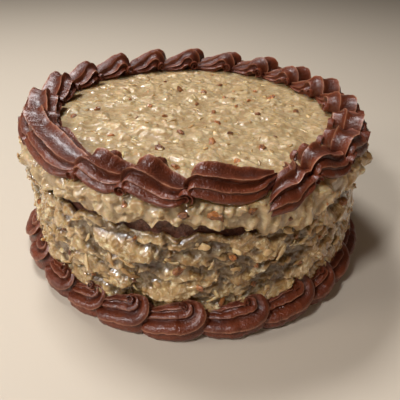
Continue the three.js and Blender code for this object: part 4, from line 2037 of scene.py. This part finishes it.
def scatter_tool(name: str, material: Material) -> GeometryTool:
    """Builds the tree that strews models over a coat, where its spread mark allows.

    Args:
        name: Name of the tree.
        material: The finish of what is strewn.

    Returns:
        The tool, with inputs for the models, density, spacing, turn, tip, sizes, lift and seed.
    """
    tool = GeometryTool(name, {
        "Models": ("NodeSocketCollection", None),
        "Density": ("NodeSocketFloat", 9000.0),
        "Spacing": ("NodeSocketFloat", 0.002),
        "Turn": ("NodeSocketFloat", 0.7),
        "Tip": ("NodeSocketFloat", 0.25),
        "Least Size": ("NodeSocketFloat", 0.75),
        "Most Size": ("NodeSocketFloat", 1.2),
        "Lift": ("NodeSocketFloat", 0.0004),
        "Seed": ("NodeSocketInt", 1),
    })
    bench = tool.bench
    mark = bench.put(bench.add("GeometryNodeInputNamedAttribute", data_type="FLOAT"), Name="spread")
    spots = bench.add("GeometryNodeDistributePointsOnFaces", distribute_method="POISSON")
    bench.put(spots, Mesh=tool.given("Geometry"), Seed=tool.given("Seed"))
    bench.put(spots, Distance_Min=tool.given("Spacing"), Density_Max=tool.given("Density"))
    bench.put(spots, Density_Factor=mark.outputs["Attribute"])
    normal = spots.outputs["Normal"]
    upright = bench.add("FunctionNodeAlignRotationToVector", axis="Z")
    bench.put(upright, Vector=normal)
    level = bench.add("FunctionNodeAlignRotationToVector", axis="X", pivot_axis="Z")
    bench.put(level, Rotation=upright.outputs[0], Vector=bench.cross((0.0, 0.0, 1.0), normal))
    turned = level.outputs[0]
    for axis, limit, seed in (((0, 0, 1), "Turn", 3), ((0, 1, 0), "Tip", 4), ((1, 0, 0), "Tip", 5)):
        amount = bench.math("MULTIPLY", bench.random(-1.0, 1.0, seed), tool.given(limit))
        spin = bench.put(bench.add("FunctionNodeAxisAngleToRotation"), Axis=axis, Angle=amount)
        turn = bench.add("FunctionNodeRotateRotation", rotation_space="LOCAL")
        bench.put(turn, Rotation=turned, Rotate_By=spin.outputs[0])
        turned = turn.outputs[0]
    size = bench.random(tool.given("Least Size"), tool.given("Most Size"), seed=6)
    models = bench.add("GeometryNodeCollectionInfo", transform_space="ORIGINAL")
    bench.put(models, Collection=tool.given("Models"), Separate_Children=True, Reset_Children=True)
    pick = bench.add("FunctionNodeRandomValue", data_type="INT")
    bench.feed(pick.inputs[4], 0)
    bench.feed(pick.inputs[5], LAST_PICK)
    bench.put(pick, Seed=7)
    raise_by = bench.math("MULTIPLY", bench.random(-1.0, 1.0, seed=8), tool.given("Lift"))
    lifted = bench.moved(spots.outputs[0], bench.scaled(normal, raise_by))
    copies = bench.add("GeometryNodeInstanceOnPoints")
    bench.put(copies, Points=lifted, Instance=models.outputs[0], Pick_Instance=True)
    bench.put(copies, Instance_Index=pick.outputs[2], Rotation=turned, Scale=size)
    toned = bench.add("GeometryNodeStoreNamedAttribute", data_type="FLOAT", domain="INSTANCE")
    bench.put(toned, Geometry=copies.outputs[0], Name="tone", Value=bench.random(0.0, 1.0, seed=9))
    tool.end(toned.outputs[0], material)
    return tool


@dataclass(frozen=True)
class Strewing:
    """One kind of topping on one coat.

    Args:
        name: Name of the piece.
        node: The coat that it lies on.
        kind: What is strewn.
        values: The tree's inputs that differ from the usual ones, in metres and radians.
    """

    name: str
    node: Node
    kind: Bit
    values: dict


# In the order that they are strewn.
STREWN = (
    Strewing("side_clumps", Node.SIDE, Bit.CLUMP, dict(
        Density=9000.0, Spacing=0.016, Turn=0.5, Tip=0.3, Seed=11, Lift=0.0005, Most_Size=0.8)),
    Strewing("side_shreds", Node.SIDE, Bit.SHRED, dict(
        Density=9000.0, Spacing=0.0115, Turn=1.1, Tip=0.12, Seed=12, Lift=0.0002)),
    Strewing("side_flakes", Node.SIDE, Bit.FLAKE, dict(
        Density=5000.0, Spacing=0.011, Turn=1.2, Tip=0.5, Seed=13, Lift=0.0006)),
    Strewing("side_pecans", Node.SIDE, Bit.PECAN, dict(
        Density=5000.0, Spacing=0.015, Turn=3.1, Tip=0.8, Seed=14, Lift=0.0003, Least_Size=0.5)),
    Strewing("top_shreds", Node.TOP, Bit.SHRED, dict(
        Density=6000.0, Spacing=0.014, Turn=3.1, Tip=0.04, Seed=21, Lift=0.0001, Most_Size=0.8)),
    Strewing("top_clumps", Node.TOP, Bit.CLUMP, dict(
        Density=5000.0, Spacing=0.012, Turn=3.1, Tip=0.2, Seed=22, Lift=0.0003, Least_Size=0.35,
        Most_Size=0.7)),
    Strewing("top_pecans", Node.TOP, Bit.PECAN, dict(
        Density=4000.0, Spacing=0.016, Turn=3.1, Tip=0.6, Seed=23, Lift=0.0004, Least_Size=0.5)),
)
# Start of the random numbers of the first kind of model.
BIT_SEED = 80


@dataclass
class Toppings:
    """Everything strewn over the two coats.

    Args:
        coconut: Finish of shreds, flakes and clumps.
        nut: Finish of the pecans.
    """

    coconut: Material
    nut: Material

    def make(self, coats: dict[Node, Piece]) -> list[tuple[Piece, Node]]:
        """Strews the toppings.

        Args:
            coats: The side and the top coat.

        Returns:
            Each piece, with the node that it belongs to.
        """
        maker = BitMaker()
        models = {kind: maker.make(kind, BIT_SEED + i) for i, kind in enumerate(Bit)}
        soft = scatter_tool("Strew coconut", self.coconut)
        hard = scatter_tool("Strew pecans", self.nut)
        made = []
        for item in STREWN:
            tool = hard if item.kind is Bit.PECAN else soft
            ground = coats[item.node].data.copy()
            made.append((tool.run(item.name, ground, Models=models[item.kind], **item.values), item.node))
        for group in models.values():
            for thing in list(group.objects):
                bpy.data.objects.remove(thing)
            bpy.data.collections.remove(group)
        return made


# ---- Studio ------------------------------------------------------------------------------------------


@dataclass(frozen=True)
class Lamp:
    """A soft rectangular lamp.

    Args:
        name: Its name.
        spot: Where it hangs, in metres.
        aim: What it points at.
        size: Its width and height.
        power: Its power in watts.
        colour: Its colour.
    """

    name: str
    spot: tuple
    aim: tuple
    size: tuple
    power: float
    colour: tuple = (1.0, 1.0, 1.0)

    def hang(self) -> None:
        """Puts the lamp in the scene."""
        light = bpy.data.lights.new(self.name, "AREA")
        light.shape = "RECTANGLE"
        light.size, light.size_y = self.size
        light.energy = self.power
        light.color = self.colour
        lamp = bpy.data.objects.new(self.name, light)
        lamp.location = self.spot
        lamp.rotation_euler = (Vector(self.aim) - Vector(self.spot)).to_track_quat("-Z", "Y").to_euler()
        bpy.context.scene.collection.objects.link(lamp)


@dataclass
class Studio:
    """Floor, light and camera.

    Args:
        eye: The camera's place in mm.
        pitch: How far it looks down, in radians.
        roll: How far it is turned about its view, in radians.
        lens: Its focal length.
        sensor: Width of its sensor.
        band_shading: What it sees from, in metres.
        lamps: The soft lamps.
        room: Colour of the room's light.
        room_power: Its strength.
        floor_colour: Colour of the floor.
        floor_roughness: Its roughness.
        floor_reach: How far it goes each way, in mm.
    """

    eye: tuple = (5.568, -277.577, 202.9)
    pitch: float = 0.592
    roll: float = 0.035
    lens: float = 38.59
    sensor: float = 36.0
    band_shading: float = 0.01
    lamps: tuple = (
        Lamp("ceiling", (-0.3, 0.35, 1.0), (0, 0, 0.08), (0.3, 0.2), 8.4, (0.97, 0.98, 1.0)),
        Lamp("spark", (-0.55, -0.6, 0.9), (0, 0, 0.05), (0.14, 0.14), 7.6, (0.96, 0.97, 1.0)),
        Lamp("left", (-1.0, -0.3, 0.6), (0, 0, 0.05), (0.3, 0.3), 4.0, (1.0, 0.94, 0.88)),
        Lamp("front", (-0.3, -1.2, 0.8), (0, 0, 0.05), (0.2, 0.2), 1.7, (1.0, 0.88, 0.76)),
        Lamp("right", (1.0, -0.6, 0.35), (0, 0, 0.03), (0.5, 0.4), 0.45, (1.0, 0.42, 0.14)),
    )
    room: tuple = (1.0, 0.8, 0.6, 1)
    room_power: float = 0.05
    floor_colour: tuple = (0.58, 0.5, 0.4, 1)
    floor_roughness: float = 0.7
    floor_reach: float = 3000.0

    def set_up(self) -> None:
        """Makes the camera, the lamps, the room light and the floor."""
        forward = Vector((0, math.cos(self.pitch), -math.sin(self.pitch)))
        right = Vector((1, 0, 0))
        up = right.cross(forward)
        x = math.cos(self.roll) * right + math.sin(self.roll) * up
        y = math.cos(self.roll) * up - math.sin(self.roll) * right
        camera = bpy.data.objects.new("camera", bpy.data.cameras.new("camera"))
        camera.data.sensor_width = self.sensor
        camera.data.lens = self.lens
        camera.data.clip_start = self.band_shading
        camera.matrix_world = Matrix((
            (x.x, y.x, -forward.x, self.eye[0] * MM),
            (x.y, y.y, -forward.y, self.eye[1] * MM),
            (x.z, y.z, -forward.z, self.eye[2] * MM),
            (0, 0, 0, 1),
        ))
        bpy.context.scene.collection.objects.link(camera)
        bpy.context.scene.camera = camera
        for lamp in self.lamps:
            lamp.hang()
        bpy.context.scene.view_settings.view_transform = "Standard"
        world = bpy.data.worlds.new("room")
        bpy.context.scene.world = world
        world.use_nodes = True
        back = world.node_tree.nodes["Background"]
        back.inputs["Color"].default_value = self.room
        back.inputs["Strength"].default_value = self.room_power
        self._lay_floor()

    def _lay_floor(self) -> None:
        """Lays the plain pale floor."""
        side = self.floor_reach
        corners = np.array([(-side, -side, 0), (side, -side, 0), (side, side, 0), (-side, side, 0)])
        material = bpy.data.materials.new("pale floor")
        material.use_nodes = True
        surface = material.node_tree.nodes["Principled BSDF"]
        surface.inputs["Base Color"].default_value = self.floor_colour
        surface.inputs["Roughness"].default_value = self.floor_roughness
        floor = finished("floor", corners, [(0, 1, 2, 3)], material)


# ---- The whole cake ----------------------------------------------------------------------------------


def build_cake() -> None:
    """Builds every piece, in order, and reports it."""
    effects = Effects()
    relief = Relief()

    hand_over(SpongeCake().make(SPONGE.build(effects)), Node.SPONGE, Slot.SPONGE)
    coats = {
        Node.SIDE: SideCoat(relief).make(CUSTARD.build(effects)),
        Node.TOP: TopCoat(relief).make(TOP_CUSTARD.build(effects)),
    }
    for node, coat in coats.items():
        hand_over(coat, node, Slot.FROSTING)
    for piece, node in Toppings(COCONUT.build(effects), PECAN.build(effects)).make(coats):
        hand_over(piece, node, Slot.FROSTING)

    wrap = ring_tool(BUTTERCREAM.build(effects))
    top_rope = PipedRope(
        name="top_piping", form=TOP_FORM, ring=TOP_RING, base=CAKE_HEIGHT + SEAT_GAP,
        shown=(-166, -150, -124, -109, -93, -70, -57, -40), total=20, seed=51, slumped=-70.0,
        swings={-109: 4.0, -93: -1.0, -124: -1.5},
    )
    foot_rope = PipedRope(
        name="foot_piping", form=FOOT_FORM, ring=FOOT_RING, base=0.0,
        shown=(-24, -38, -49, -65.5, -84, -99.5, -113, -125, -141.5, -155), total=21, seed=52,
        keep_out=0.3, torn=-119.0, ragged=0.45,
    )
    hand_over(top_rope.make(wrap), Node.TOP_ROPE, Slot.BUTTERCREAM)
    hand_over(foot_rope.make(wrap), Node.FOOT_ROPE, Slot.BUTTERCREAM)


def main() -> None:
    """Builds the scene."""
    logging.basicConfig(level=logging.INFO, format="%(name)s: %(message)s")
    Studio().set_up()
    build_cake()


if __name__ == "__main__":
    main()
